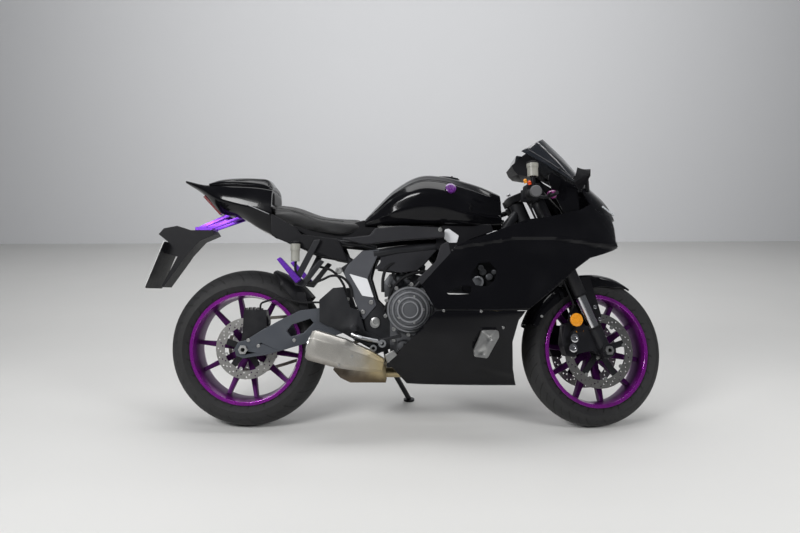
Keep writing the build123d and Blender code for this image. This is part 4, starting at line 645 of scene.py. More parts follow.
def bolt(mesh, centre, axis, radius=6, height=4, socket=0.5):
    """Adds a cap screw: its head, with a socket sunk in it."""
    barrel(mesh, centre, axis, (
        (-2, radius), (height * 0.7, radius), (height, radius * 0.8), (height, radius * socket),
        (height * 0.35, radius * socket * 0.94),
    ), 16)


def fitted(name, finish, slot, steps, **where):
    """A piece made of several shapes: each step is a function that adds one, and its values."""
    mesh = bmesh.new()
    for add, *values in steps:
        add(mesh, *values)
    return settled(name, mesh, finish, slot, **where)


def plate(name, points, near, far, corner, edge, finish, slot, segments=2, **where):
    """A flat piece from one place across the bike to another, with its corners and edges rounded."""
    return rounded(settled(name, prism(points, near, far, corner), finish, slot, **where), edge, segments)


def mirrored(points):
    """A run of points as drawn for the left, on the right and then on the left."""
    return [[(x, sign * y, z) for x, y, z in points] for sign in SIDES.values()]


def cut(mesh, where, facing):
    """Cuts a mesh's faces along a plane, and keeps both sides."""
    geometry = mesh.verts[:] + mesh.edges[:] + mesh.faces[:]
    bmesh.ops.bisect_plane(mesh, geom=geometry, plane_co=where, plane_no=facing, dist=0.0001)


# ---------------------------------------------------------------- bodywork tables
# As (X, row, row, ...), each row a half-width and a height.
TANK_STATIONS = (
    (474, (36, 840), (80, 822), (84, 804)),
    (520, (48, 888), (96, 852), (98, 804)),
    (590, (62, 955), (132, 900), (112, 804)),
    (690, (74, 1008), (170, 935), (130, 804)),
    (790, (78, 1006), (178, 925), (142, 804)),
    (880, (66, 986), (136, 900), (140, 800)),
    (950, (50, 966), (98, 880), (112, 796)),
    (1020, (36, 936), (68, 866), (84, 804)),
)
SEAT_STATIONS = (
    (104.3, (70, 893), (98, 878), (100, 832)),
    (200, (88, 878), (118, 860), (106, 806)),
    (300, (92, 843), (122, 828), (108, 782)),
    (390, (76, 833), (104, 820), (104, 772)),
    (468, (44, 834), (66, 824), (74, 798)),
)
TAIL_STATIONS = (
    (-273, (6, 1001), (9, 997), (6, 992)),
    (-188, (50, 978), (60, 955), (30, 936)),
    (-119, (74, 972), (95, 915), (36, 862)),
    (-33, (90, 966), (112, 885), (46, 842)),
    (44, (95, 960), (118, 870), (62, 797)),
    (104, (97, 950), (121, 852), (84, 766)),
)
HUMP_STATIONS = (
    (-160, (30, 985), (60, 980), (62, 973)),
    (-119, (42, 999), (74, 984), (76, 970)),
    (-33, (54, 1004), (86, 983), (88, 964)),
    (44, (58, 1001), (90, 975), (92, 958)),
    (80, (56, 995), (91, 966), (93, 952)),
    (104, (54, 966), (90, 953), (94, 948)),
)
FAIRING_LEVELS = (174, 250, 360, 470, 600, 740, 890)
FAIRING_STATIONS = (
    (540, (60, 116, 158, 178, 186, 190, 186)),
    (720, (86, 152, 196, 212, 208, 205, 196)),
    (900, (96, 164, 208, 226, 220, 224, 200)),
    (1060, (92, 156, 202, 226, 226, 240, 212)),
    (1200, (80, 136, 178, 208, 222, 238, 210)),
    (1330, (60, 110, 140, 170, 180, 196, 168)),
    (1430, (40, 70, 90, 110, 118, 134, 104)),
    (1500, (20, 30, 40, 50, 56, 64, 40)),
)
SIDE_FAIRING = (
    (690, 577), (760, 650), (832, 719), (919, 749), (995, 776), (1094, 814), (1171, 822), (1307, 855),
    (1357, 882), (1416, 797), (1479, 721), (1459, 705), (1397, 685), (1342, 670), (1287, 632),
    (1190, 548), (1095, 471), (752, 471),
)
BELLY_PAN = (
    (748, 469), (1088, 469), (1061, 434), (1040, 352), (1048, 246), (1068, 175),
    (790, 177), (700, 178), (640, 180), (590, 240), (563, 266), (589, 292), (675, 382),
)
FAIRING_VENT = ((790, 538), (860, 566), (884, 560), (880, 534), (802, 528))
MOUNT_HOLE = ((878, 600), (900, 566), (946, 560), (972, 588), (978, 622), (952, 652), (912, 650))
FAIRING_BOLTS = ((780, 470), (920, 468), (1003, 407), (1149, 449))
FAIRING_WALL = 3.5
FAIRING_ROWS = eased([x for x, _ in FAIRING_STATIONS], [halves for _, halves in FAIRING_STATIONS], 16)
# Character lines of the fairing, as (X, Z) runs: under each the skin steps in, then comes back.
UPPER_LINE = ((760, 700), (1065, 746), (1180, 744), (1273, 735), (1366, 724), (1480, 712))
BELLY_LINE = ((560, 330), (760, 300), (900, 268), (1010, 226), (1090, 210))
# Each line's step, the height over which it steps in and the height over which it comes back.
LINES = ((UPPER_LINE, 9, 8, 110), (BELLY_LINE, 7, 8, 90))
# The fairing's width is averaged over these heights, so that no level shows as a crease.
BLUR = (-22, -11, 0, 11, 22)


def level_at(line, x):
    """The second number of a run of pairs where its first is x."""
    if x <= line[0][0]:
        return line[0][1]
    for (x0, z0), (x1, z1) in zip(line, line[1:]):
        if x <= x1:
            return z0 + (z1 - z0) * (x - x0) / (x1 - x0)
    return line[-1][1]


def fairing_half(x, z):
    """The fairing's half-width at a place of its side view."""
    behind = [index for index, (station, _) in enumerate(FAIRING_ROWS[:-1]) if station <= x]
    low = behind[-1] if behind else 0
    (x0, row0), (x1, row1) = FAIRING_ROWS[low:low + 2]
    share = min(max((x - x0) / (x1 - x0), 0), 1)
    profile = tuple(zip(FAIRING_LEVELS, [start + (end - start) * share for start, end in zip(row0, row1)]))
    half = sum(level_at(profile, z + shift) for shift in BLUR) / len(BLUR)
    for line, depth, width, fade in LINES:
        under = level_at(line, x) - z
        if under > 0:
            half -= depth * min(under / width, 1) * max(0, 1 - under / fade) ** 2
    return half


def fairing_skin(points, holes=(), cell=11):
    """A fairing panel's outer face, drawn in the side view and then laid on the fairing's width."""
    mesh = bmesh.new()
    mesh.faces.new([mesh.verts.new((x, 0, z)) for x, z in points])
    xs, zs = zip(*points)
    for x in range(int(min(xs)) + cell, int(max(xs)), cell):
        cut(mesh, (x, 0, 0), (1, 0, 0))
    for z in range(int(min(zs)) + cell, int(max(zs)), cell):
        cut(mesh, (0, 0, z), (0, 0, 1))
    for hole in holes:
        for (x0, z0), (x1, z1) in zip(hole, hole[1:] + hole[:1]):
            cut(mesh, (x0, 0, z0), (z1 - z0, 0, x0 - x1))
    for hole in holes:
        inside = [face for face in mesh.faces if within(face.calc_center_median(), hole)]
        bmesh.ops.delete(mesh, geom=inside, context="FACES")
    for vert in mesh.verts:
        vert.co.y = -fairing_half(vert.co.x, vert.co.z)
    return mesh


def within(point, loop):
    """Whether a point's X and Z lie inside a loop."""
    odd = False
    for (x0, z0), (x1, z1) in zip(loop, loop[1:] + loop[:1]):
        if (z0 > point.z) != (z1 > point.z):
            if point.x < x0 + (point.z - z0) * (x1 - x0) / (z1 - z0):
                odd = not odd
    return odd


def both_sides(mesh, sign):
    """The mesh as drawn for the right, or turned over for the left."""
    if sign > 0:
        bmesh.ops.scale(mesh, vec=(1, -1, 1), verts=mesh.verts)
    return mesh


# ---------------------------------------------------------------- bodywork
def add_fairings():
    for side, sign in SIDES.items():
        for name, node, points, holes in (
            ("fairing", f"side_fairing_{side}", SIDE_FAIRING, (FAIRING_VENT, MOUNT_HOLE)),
            ("belly", "belly_pan", BELLY_PAN, ()),
        ):
            mesh = both_sides(fairing_skin(points, holes), sign)
            panel = settled(f"{name}_{side}", mesh, GLOSS, "gloss_black", stands_for=(node,))
            shelled(panel, FAIRING_WALL, 0.6)
        mesh = bmesh.new()
        for x, z in FAIRING_BOLTS:
            bolt(mesh, (x, -fairing_half(x, z), z), RIGHT, 5, 2.5)
        settled(f"fairing_bolts_{side}", both_sides(mesh, sign), STEEL, "bright_steel")


TANK_DISC = ((-8, 21), (2, 21), (3.4, 19), (4, 12))
# Where the left disc stands on the tank, and its way out.
TANK_DISC_AT = ((812, 158, 944), (0.1, 1, 0.5))
TANK_CAP = ((-4, 58), (6, 58), (8, 54), (8, 38), (12, 36), (13, 30))
CAP_TILT = (0.05, 0, 1)
CAP_SCREWS = 48


def add_tank():
    shell = hull(TANK_STATIONS, 0.05, 34)
    settled("tank_shell", shell, GLOSS, "gloss_black", stands_for=("fuel_tank",), sharp=60)
    discs = [(barrel, *placed, TANK_DISC, 40) for placed in mirrored(TANK_DISC_AT)]
    fitted("tank_discs", DISC_VIOLET, "violet_anodised", discs)
    screws = [(800 + CAP_SCREWS * cos(turn), CAP_SCREWS * sin(turn), 1008) for turn in spread(6)]
    fitted("tank_cap", FORK_BLACK, "gloss_black", [
        (barrel, (800, 0, 1000), CAP_TILT, TANK_CAP, 48), *((bolt, at, CAP_TILT, 4, 3) for at in screws),
    ])


TAIL_PAD = ((44, 994), (78, 984), (109, 934), (110, 888), (90, 886), (58, 940))
TAIL_TRIM = ((14, 119, 884), (56, 120.5, 866), (98, 122, 848))


def add_tail():
    trim = [(pipe, run, 1.5, 8, 6) for run in mirrored(TAIL_TRIM)]
    fitted("tail_trim", ALUMINIUM, "bright_steel", trim)
    plate("hump_pad", TAIL_PAD, -72, 72, 12, 7, VINYL, "seat_vinyl", 3)
    settled("tail_shell", hull(TAIL_STATIONS, 0.03, 12), GLOSS, "gloss_black", stands_for=("tail_cowl",))
    settled("hump_shell", hull(HUMP_STATIONS, 0.03, 14), GLOSS, "gloss_black", stands_for=("seat_hump",))


# Nose: level Z, then the front edge's X, the side edge's X and the side edge's half-width.
NOSE_LEVELS = (
    (716, 1500, 1478, 62),
    (787, 1500, 1424, 98),
    (836, 1488, 1391, 116),
    (878, 1468, 1360, 130),
    (919, 1436, 1338, 134),
    (961, 1390, 1320, 126),
)
NOSE_BRIDGE = 16
LAMP_LOW = 742
LAMP_HIGH = 830
LAMP_HALF = 42
LAMP_LENS = ((0, 33), (9, 33), (12, 29), (14, 20), (15, 8))
RUNNING_LIGHT = ((1480, 34, 852), (1452, 74, 858), (1412, 112, 876))


def in_lamp_opening(face):
    middle = face.calc_center_median()
    return abs(middle.y) < LAMP_HALF and LAMP_LOW < middle.z < LAMP_HIGH


def add_nose():
    rings = []
    levels = [level for level, *_ in NOSE_LEVELS]
    for z, (front, side, half) in eased(levels, [edges for _, *edges in NOSE_LEVELS], 10):
        corners = ((side, -half), (front, -NOSE_BRIDGE), (front, NOSE_BRIDGE), (side, half))
        rings.append([(point.x, point.y, z) for point in outline(corners, -0.045, 30, False, 10)])
    mesh = ring_skin(rings, False, False)
    for level in (LAMP_LOW, LAMP_HIGH):
        cut(mesh, (0, 0, level), (0, 0, 1))
    for across in (-LAMP_HALF, LAMP_HALF):
        cut(mesh, (0, across, 0), (0, 1, 0))
    bmesh.ops.delete(mesh, geom=[face for face in mesh.faces if in_lamp_opening(face)], context="FACES")
    nose = settled("nose_shell", mesh, GLOSS, "gloss_black", stands_for=("nose_cowl",), sharp=50)
    if nose.data.polygons[0].normal.x < 0:
        nose.data.flip_normals()
    shelled(nose, 4.5, 1.2)
    fitted("lamp_lens", LENS_CLEAR, "lamp_glass", [(barrel, (1438, 0, 786), FORWARD, LAMP_LENS, 40)])
    strips = [(pipe, run, 4) for run in mirrored(RUNNING_LIGHT)]
    fitted("running_lights", LIGHT_STRIP, "lamp_glass", strips)


# Screen, bottom to top: X and Z of its middle line, then X, half-width and Z of its side edge.
SCREEN_ROWS = ((1384, 961, 1322, 120, 961), (1290, 1079, 1196, 134, 1036), (1204, 1169, 1092, 126, 1096))
# Its section from side edge to middle: shares of the half-width and of the way to the middle line.
SCREEN_SHAPE = ((1, 0), (0.74, 0.5), (0.34, 0.9), (0, 1))
SCREEN_RIDGES = ((0.9, 0.16), (0.62, 0.62))
SCREEN_BOLTS = ((1298.5, 989.75), (1241.8, 1023.5))


def screen_point(row, share, depth, proud=0):
    """A place on the screen, or this far off it, by its share of the section's width and depth."""
    mid_x, mid_z, side_x, half, side_z = row
    across = half * share + (proud if share > 0 else -proud)
    return Vector((side_x + (mid_x - side_x) * depth, across, side_z + (mid_z - side_z) * depth + proud))


def add_screen():
    shape = [(-share, depth) for share, depth in SCREEN_SHAPE] + list(SCREEN_SHAPE[-2::-1])
    rows = [row for _, row in eased([0, 1, 2], SCREEN_ROWS, 10)]
    rings = [[screen_point(row, share, depth) for share, depth in shape] for row in rows]
    mesh = ring_skin(rings, False, False)
    screen = settled("screen_shell", mesh, SCREEN, "smoked_screen", stands_for=("windscreen",), sharp=60)
    shelled(screen, 3, 0.8)
    ridges = []
    for sign in SIDES.values():
        for share, depth in SCREEN_RIDGES:
            low, middle, high = (screen_point(row, sign * share, depth, 3) for row in SCREEN_ROWS)
            ridges.append((pipe, (low.lerp(middle, 0.06), middle, high.lerp(middle, 0.12)), 1.3, 8, 8))
    fitted("screen_ridges", BAR_GREY, "smoked_screen", ridges)
    fitted("screen_bolts", FORK_BLACK, "fork_black", [
        (bolt, *placed, 6, 4) for x, z in SCREEN_BOLTS for placed in mirrored(((x, 125, z), (0.3, 1, 0.3)))
    ])


# Mudguards: (degrees from the top, how deep the skirt hangs, share of the full width), back to front.
FENDER_SKIRTS = ((-70, 34, 0.86), (-40, 54, 1), (-8, 60, 1), (14, 46, 1), (34, 14, 0.5))
HUGGER_SKIRTS = ((19, 12, 0.6), (30, 44, 0.96), (42, 56, 1), (52, 50, 1))
GUARD_WALL = 3
GUARD_STEPS = 40
HUGGER_TAB = ((222, 460), (256, 460), (238, 540), (206, 540))
FENDER_STAY = ((26, 74), (50, 74), (54, 265), (18, 265))


def guard(axle, half, inner, skirts):
    """A mudguard's skin round a wheel, of this half-width and inner radius."""
    rings = []
    first, last = skirts[0][0], skirts[-1][0]
    for step in range(GUARD_STEPS + 1):
        turn = first + (last - first) * step / GUARD_STEPS
        for (back, *back_row), (front, *front_row) in zip(skirts, skirts[1:]):
            if back <= turn <= front:
                share = (turn - back) / (front - back)
                smooth = share * share * (3 - 2 * share)
                skirt, wide = (start + (end - start) * smooth for start, end in zip(back_row, front_row))
        reach = half * wide
        right = ((-reach, inner - skirt), (-reach, inner - skirt * 0.45), (-reach * 0.5, inner + GUARD_WALL))
        corners = right + tuple((-across, out) for across, out in right[::-1])
        rings.append([
            (axle.x + sin(radians(turn)) * point.y, point.x, axle.z + cos(radians(turn)) * point.y)
            for point in outline(corners, 0.03, 16, False, 4)
        ])
    return ring_skin(rings, False, False)


def add_guards():
    for name, node, finish, slot, where, values in (
        ("fender_shell", "front_fender", GLOSS, "gloss_black", ON_FORK, (FRONT_AXLE, 71, 309, FENDER_SKIRTS)),
        ("hugger_shell", "hugger", SATIN, "satin_black", {}, (REAR_AXLE, 100, 329, HUGGER_SKIRTS)),
    ):
        shell = settled(name, guard(*values), finish, slot, **where, stands_for=(node,), sharp=50)
        shelled(shell, GUARD_WALL, 0.9)
    settled("hugger_tab", prism(HUGGER_TAB, -106, -98, 6), SATIN, "satin_black")
    edge = outline(FENDER_STAY, 0, 6)
    for side, sign in SIDES.items():
        mesh = bmesh.new()
        slab(mesh, [head_point(x, sign * 73, z) for x, z in edge], (0, sign * -4, 0))
        bolt(mesh, head_point(FORK_OFFSET, sign * 73, 86), (0, sign, 0), 8, 4)
        settled(f"fender_stay_{side}", mesh, GLOSS, "gloss_black", **ON_FORK)


# ---------------------------------------------------------------- seat
def add_seat():
    """The rider's seat, a stuffed cover: a slightly smaller shape, swollen and settled by simulation."""
    slim = [
        (x + ends, *((half - 4, z + rise) for (half, z), rise in zip(rows, (-4, -4, 4))))
        for (x, *rows), ends in zip(SEAT_STATIONS, (4, 0, 0, 0, -3))
    ]
    mesh = hull(slim, 0.03, 22, 8)
    seat = settled("seat_pad", mesh, VINYL, "seat_vinyl", stands_for=("rider_seat",), sharp=180)
    swell(seat, 0.006, 4.0, 0.005)
    seam = [(x, half - 1, z + 1) for x, _, (half, z), _ in SEAT_STATIONS[:4]]
    fitted("seat_seams", VINYL, "seat_vinyl", [(pipe, run, 1.6, 8, 8) for run in mirrored(seam)])


def swell(piece, voxel, pressure, cap):
    """Stuffs a closed shape: remeshed evenly, blown up a little by cloth pressure, then smoothed."""
    bpy.context.view_layer.objects.active = piece
    remesh = piece.modifiers.new("voxels", "REMESH")
    remesh.mode = "VOXEL"
    remesh.voxel_size = voxel
    apply_all(piece)
    rest = [vert.co.copy() for vert in piece.data.vertices]
    cloth = piece.modifiers.new("cloth", "CLOTH")
    cloth.settings.use_pressure = True
    cloth.settings.uniform_pressure_force = pressure
    cloth.settings.effector_weights.gravity = 0
    for number in range(1, 21):
        bpy.context.scene.frame_set(number)
    apply_all(piece)
    for vert, start in zip(piece.data.vertices, rest):
        step = vert.co - start
        if step.length > cap:
            vert.co = start + step.normalized() * cap
    bpy.context.scene.frame_set(1)
    finer = piece.modifiers.new("finer", "SUBSURF")
    finer.levels = 1
    finer.render_levels = 1
    piece.data.shade_smooth()


def apply_all(piece):
    """Replaces a piece's mesh by what its modifiers make of it."""
    graph = bpy.context.evaluated_depsgraph_get()
    made = bpy.data.meshes.new_from_object(piece.evaluated_get(graph))
    piece.modifiers.clear()
    piece.data = made


# ---------------------------------------------------------------- engine
CLUTCH = Vector((653, 0, 472))
# Raised rings of the clutch cover: radius, face across the bike, half-width.
CLUTCH_RINGS = ((84, -144, 4), (66, -161, 4), (47, -173, 3.5), (30, -180, 2.5))
# Ribs between them: how many, near and far radius, half-width, and the faces they run between.
CLUTCH_RIBS = ((12, 38, 58, 3, -173, -168), (18, 66, 77, 3.5, -161, -156))
# Screws round it: radius, face, how many, share of a step turned, head radius and height.
CLUTCH_SCREWS = ((98, -137, 10, 0.4, 8, 6), (52, -171, 5, 0, 5, 4))
GEARBOX_BOLTS = ((572, 566), (600, 594), (640, 600), (690, 590), (652, 566))
SUMP_BOLTS = ((590, 352), (612, 318), (668, 300), (730, 290), (800, 300), (600, 410), (588, 452))
# Round cases behind the cover: X, Z, how far out they stand, radius.
ENGINE_CASES = ((604, 582, 74, 20), (652, 606, 72, 14), (700, 584, 76, 17))
ENGINE_HOSES = (
    ((700, -76, 584), (662, -100, 566), (614, -114, 546), (576, -115, 514), (552, -116, 466)),
    ((780, -70, 610), (720, -96, 622), (640, -100, 604), (590, -96, 560), (566, -104, 500)),
    ((654, -72, 594), (640, -86, 634), (602, -98, 656), (564, -106, 638), (548, -110, 598), (546, -112, 540)),
    ((606, -72, 566), (590, -88, 604), (582, -96, 646), (590, -92, 684), (606, -82, 716)),
    ((628, -137, 336), (682, -147, 324), (742, -147, 338), (800, -140, 378)),
)


# Turned parts: place, way out, profile and facets.
ENGINE_TURNED = (
    ((742, -136, 500), RIGHT, ((0, 17), (10, 17), (14, 13), (20, 9), (20, 4)), 24),
    ((628, -114, 330), RIGHT, ((0, 26), (14, 26), (20, 20), (22, 8)), 28),
    *(((x, -64, 614), (0.15, -0.5, 1), ((0, 11), (34, 11), (38, 6.6)), 20) for x in (700, 660, 620)),
    *(((x, -reach, z), RIGHT, ((-1, radius), (8, radius * 0.96), (12, radius * 0.7), (12, 4)), 28)
      for x, z, reach, radius in ENGINE_CASES),
)


def ring_profile(radius, wide):
    """A low raised ring's section."""
    return (0, radius - wide), (3, radius - wide * 0.6), (3, radius + wide * 0.6), (0, radius + wide)


def add_engine():
    """The right side's clutch cover, screws, cases and hoses."""
    fitted("clutch_rings", CAST_BRIGHT, "engine_grey", [
        (barrel, CLUTCH + Vector((0, face, 0)), RIGHT, ring_profile(radius, wide), 64, True)
        for radius, face, wide in CLUTCH_RINGS
    ])
    fitted("clutch_ribs", ENGINE_GREY, "engine_grey", [
        (rib, CLUTCH, turn, *sizes) for count, *sizes in CLUTCH_RIBS for turn in spread(count)
    ])
    fitted("engine_screws", STEEL, "bright_steel", [
        *((bolt, wheel_point(CLUTCH, radius, turn, face), RIGHT, head, height)
          for radius, face, count, shift, head, height in CLUTCH_SCREWS for turn in spread(count, shift)),
        *((bolt, (x, -70, z), RIGHT, 6, 5) for x, z in GEARBOX_BOLTS),
        *((bolt, (x, -114, z), RIGHT, 8, 6) for x, z in SUMP_BOLTS),
    ])
    fitted("engine_cases", ENGINE_GREY, "engine_grey", [(barrel, *part) for part in ENGINE_TURNED])
    fitted("engine_hoses", HOSE, "hose_rubber", [(pipe, run, 6.5, 12, 8) for run in ENGINE_HOSES])


# ---------------------------------------------------------------- chassis
FRAME_PLATE = (
    (393, 617), (409, 647), (466, 703), (533, 708), (527, 686), (486, 592), (511, 519), (523, 490),
    (472, 431), (455, 460), (418, 548),
)
# Outline of a frame facet that carries a painted highlight.
FRAME_HIGHLIGHT_FACET = ((415, 612), (486, 592), (511, 519), (466, 526))
INTAKE_PANEL = (
    (535, 702), (550, 709), (736, 728), (772, 722), (703, 643), (677, 623), (614, 617), (512, 632),
    (537, 657),
)
HEAD_PANEL = ((750, 722), (778, 804), (972, 808), (984, 780), (884, 744), (846, 690), (780, 690))
# Outline of a head facet that carries a painted highlight.
HEAD_HIGHLIGHT_FACET = ((786, 752), (790, 786), (806, 790), (846, 762), (838, 734), (806, 734))
FAIRING_EDGE = ((770, 719), (799, 732), (808, 688), (696, 567), (682, 591), (750, 655))
EDGE_FACE = fairing_half(750, 650)
COCKPIT_PANEL = (
    (1206, 1016), (1316, 952), (1322, 880), (1322, 800), (1292, 792), (1242, 890), (1214, 945), (1200, 985),
)
MOUNT_PLATE = ((850, 540), (1000, 540), (1010, 670), (870, 680))
# Flat pieces on both sides: outline, the two faces across the bike, corner and edge rounding, its
# segments, finish and slot.
SIDE_PLATES = (
    ("frame_plate", FRAME_PLATE, 100, 118, 5, 2.5, 2, FRAME_LIGHT, "frame_grey"),
    # The two facet plates are painted near white: painted highlight.
    ("frame_facet_highlight", FRAME_HIGHLIGHT_FACET, 116, 119.4, 4, 0.8, 2, FACET_HIGHLIGHT, "frame_grey"),
    ("intake_panel", INTAKE_PANEL, 84, 106, 9, 6, 3, COVER, "satin_black"),
    ("head_panel", HEAD_PANEL, 96, 112, 8, 3, 2, SATIN, "satin_black"),
    ("head_facet_highlight", HEAD_HIGHLIGHT_FACET, 110, 117, 4, 1.5, 2, FACET_HIGHLIGHT, "frame_grey"),
    ("fairing_edge", FAIRING_EDGE, EDGE_FACE - 8, EDGE_FACE + 2.5, 4, 2, 2, COVER, "satin_black"),
    ("cockpit_panel", COCKPIT_PANEL, 104, 107, 8, 0.8, 2, GLOSS, "gloss_black"),
    ("mount_plate", MOUNT_PLATE, 150, 160, 20, 2, 2, SATIN, "satin_black"),
)
SEAT_PAN = (
    (176, 800), (296, 736), (395, 730), (520, 744), (520, 812), (470, 830), (390, 806), (300, 816),
    (220, 840),
)
# Screws on the right: X, Y, Z, head radius, head height.
FRAME_SCREWS = (
    (501, -117, 500, 9, 5), (469, -117, 462, 9, 5), (518, -117, 425, 17, 5), (428, -117, 429, 8, 5),
    (374, -114, 625, 14, 7), (771, -150, 782, 8, 4), (20, -119, 352, 7, 4), (60, -119, 330, 7, 4),
    (200, -119, 352, 7, 4), (330, -119, 360, 7, 4),
)
HEEL_FACES = {"right": -122, "left": 143}
HEEL_GUARD = ((312, 440), (312, 504), (354, 542), (370, 536), (372, 470), (350, 424))
HEEL_RIB = ((398, 404), (448, 372), (472, 382), (446, 424), (412, 466), (396, 450))
HEEL_SCREWS = ((386, 511), (379, 460), (374, 425), (462, 404), (430, 372))


def add_frame_trim():
    for side, sign in SIDES.items():
        for name, points, near, far, corner, edge, segments, finish, slot in SIDE_PLATES:
            plate(f"{name}_{side}", points, sign * near, sign * far, corner, edge, finish, slot, segments)
        face = HEEL_FACES[side]
        for name, points, finish in (("heel_guard", HEEL_GUARD, SATIN), ("heel_rib", HEEL_RIB, FRAME_LIGHT)):
            plate(f"{name}_{side}", points, face - sign, face + sign * 5, 12, 2.2, finish, "frame_grey")
    plate("seat_pan", SEAT_PAN, -70, 70, 10, 3, SATIN, "satin_black")
    fitted("frame_screws", STEEL, "bright_steel", [
        *((bolt, (x, y, z), RIGHT, radius, height) for x, y, z, radius, height in FRAME_SCREWS),
        *((bolt, (x, face, z), (0, face, 0), 8, 6) for face in HEEL_FACES.values() for x, z in HEEL_SCREWS),
    ])


PEDAL = ((427, -140, 378), (470, -150, 362), (520, -152, 352), (546, -150, 344))
# Eyes on the pedal's bar: X, Z, outer radius and radius of the hole.
PEDAL_EYES = ((546, 342, 15, 7.5), (512, 324, 13, 6.5))
PEDAL_TIP = ((556, 300), (590, 318), (604, 300), (566, 268))


def add_brake_pedal():
    fitted("brake_pedal", ALUMINIUM, "bright_steel", [
        (pipe, PEDAL, 8, 14, 8),
        *((barrel, (x, -152, z), RIGHT, ((0, hole), (10, hole * 1.1), (10, outer), (0, outer)), 32, True)
          for x, z, outer, hole in PEDAL_EYES),
    ])
    plate("pedal_tip", PEDAL_TIP, -176, -150, 5, 1.5, STEEL, "bright_steel")


MOUNT_BOSSES = ((934, 617, 13), (957, 598, 13), (926, 633, 11), (976, 617, 9))
MOUNT_RING = ((0, 22), (14, 22), (16, 20), (16, 15), (4, 14))
# A pale strip along the lower lip inside the fairing's vent slot: a painted highlight.
SLOT_HIGHLIGHT_STRIP = ((788, 532), (891, 529), (891, 533), (788, 536))


def add_fairing_mounts():
    fitted("mount_bosses", ENGINE_GREY, "engine_grey", [
        (barrel, *placed, ((0, radius), (12, radius), (14, radius * 0.7), (14, 4)), 24)
        for x, z, radius in MOUNT_BOSSES for placed in mirrored(((x, 160, z), LEFT))
    ])
    rings = [(barrel, *placed, MOUNT_RING) for placed in mirrored(((914, 160, 579), LEFT))]
    fitted("mount_rings", CAST_BRIGHT, "engine_grey", rings)
    # The vent's strip sits just inside the fairing and is painted pale as the highlight on the slot's lip.
    face = 5 - fairing_half(836, 530)
    for side, sign in SIDES.items():
        mesh = both_sides(prism(SLOT_HIGHLIGHT_STRIP, face, face + 4), sign)
        settled(f"slot_highlight_{side}", mesh, PLATE_AND_SLOT_HIGHLIGHT, "bright_steel")


REAR_HOSES = (
    ((206, -132, 664), (206, -131, 624), (228, -129, 588), (268, -126, 576), (308, -124, 588),
     (346, -124, 604), (388, -123, 598), (418, -122, 564), (428, -122, 520)),
    ((300, -118, 640), (350, -120, 622), (392, -118, 570), (404, -118, 520)),
)
SILENCER_OUTLET = (268, -173, 342)
SILENCER_WAY = (272, 0, -78)
SILENCER_BAND = ((-6, 25), (-6, 31), (2, 33), (2, 25))
REAR_CAP = ((-2, 20), (8, 20), (11, 17))
SILENCER_RIVETS = ((435, -220, 300), (385, -217, 265))


def add_rear_fittings():
    fitted("rear_hoses", HOSE, "hose_rubber", [(pipe, run, 5, 12, 8) for run in REAR_HOSES])
    fitted("rear_cap", SATIN, "satin_black", [(barrel, (206, -132, 728), UP, REAR_CAP, 28)])
    rivets = [(bolt, at, RIGHT, 5, 3, 0.3) for at in SILENCER_RIVETS]
    fitted("silencer_rivets", STEEL, "bright_steel", rivets)
    ring = (barrel, SILENCER_OUTLET, SILENCER_WAY, SILENCER_BAND, 40, True, LEFT)
    fitted("silencer_band", STEEL, "silencer_titanium", [ring])


# ---------------------------------------------------------------- fork and cockpit
FORK_CAP = ((-3, 9), (6, 9), (8, 6))
FORK_SEAL = ((0, 23), (3, 27.6), (9, 27.6), (11, 25))
REFLECTOR = ((0, 25), (5, 25), (7, 22), (8, 12))
REFLECTOR_STAY = ((1262, 440), (1290, 440), (1306, 376), (1276, 372))
CALIPER_CAP = ((0, 17), (6, 17), (8, 14), (8, 8), (5, 7))
FENDER_BRACKET = ((1316, 590), (1364, 600), (1408, 440), (1394, 400), (1354, 432))
FENDER_SCREWS = ((1380, 475), (1397, 426))
CALIPER_CAPS = ((1267, 349), (1259, 311))


def add_fork():
    for side, sign in SIDES.items():
        def on_leg(up):
            return head_point(FORK_OFFSET, sign * FORK_SPREAD, up)

        fitted(f"fork_cap_{side}", CHROME, "bright_steel", [
            (bolt, on_leg(712), STEERING_UP, 22, 7), (barrel, on_leg(726), STEERING_UP, FORK_CAP, 6),
        ], **ON_FORK)
        stanchion = [(barrel, on_leg(98), STEERING_UP, ((0, 20.8), (138, 20.8)), 32)]
        fitted(f"stanchion_{side}", CHROME, "bright_steel", stanchion, **ON_FORK)
        seals = [(barrel, on_leg(low), STEERING_UP, FORK_SEAL, 32) for low in (92, 232)]
        fitted(f"fork_seals_{side}", SATIN, "fork_black", seals, **ON_FORK)
        lens = [(barrel, (1276, sign * 109, 420), (0, sign, 0), REFLECTOR, 36)]
        fitted(f"reflector_{side}", LENS_AMBER, "amber", lens, **ON_FORK, stands_for=("fork_reflectors",))
        stay = prism(REFLECTOR_STAY, sign * 106, sign * 110, 6)
        settled(f"reflector_stay_{side}", stay, SATIN, "fork_black", **ON_FORK)
        near, far = sign * 71, sign * 74.5
        plate(f"fender_bracket_{side}", FENDER_BRACKET, near, far, 8, 1, SATIN, "gloss_black", **ON_FORK)
        fitted(f"fork_bolts_{side}", CHROME, "bright_steel", [
            *((bolt, (x, sign * 74, z), (0, sign, 0), 8, 4) for x, z in FENDER_SCREWS),
            *((barrel, (x, sign * 104, z), (0, sign, 0), CALIPER_CAP, 28) for x, z in CALIPER_CAPS),
        ], **ON_FORK)
    screws = [(bolt, *placed, 8, 5) for placed in mirrored(((1384, 106, 366), LEFT))]
    fitted("caliper_screws", STEEL, "bright_steel", screws, **ON_FORK)


BAR_END = ((0, 14), (2, 19), (22, 21.5), (30, 18), (31, 6))
SWITCH_BOX = ((1030, 866), (1076, 868), (1080, 908), (1062, 922), (1032, 920))
GRIP_RINGS = 22


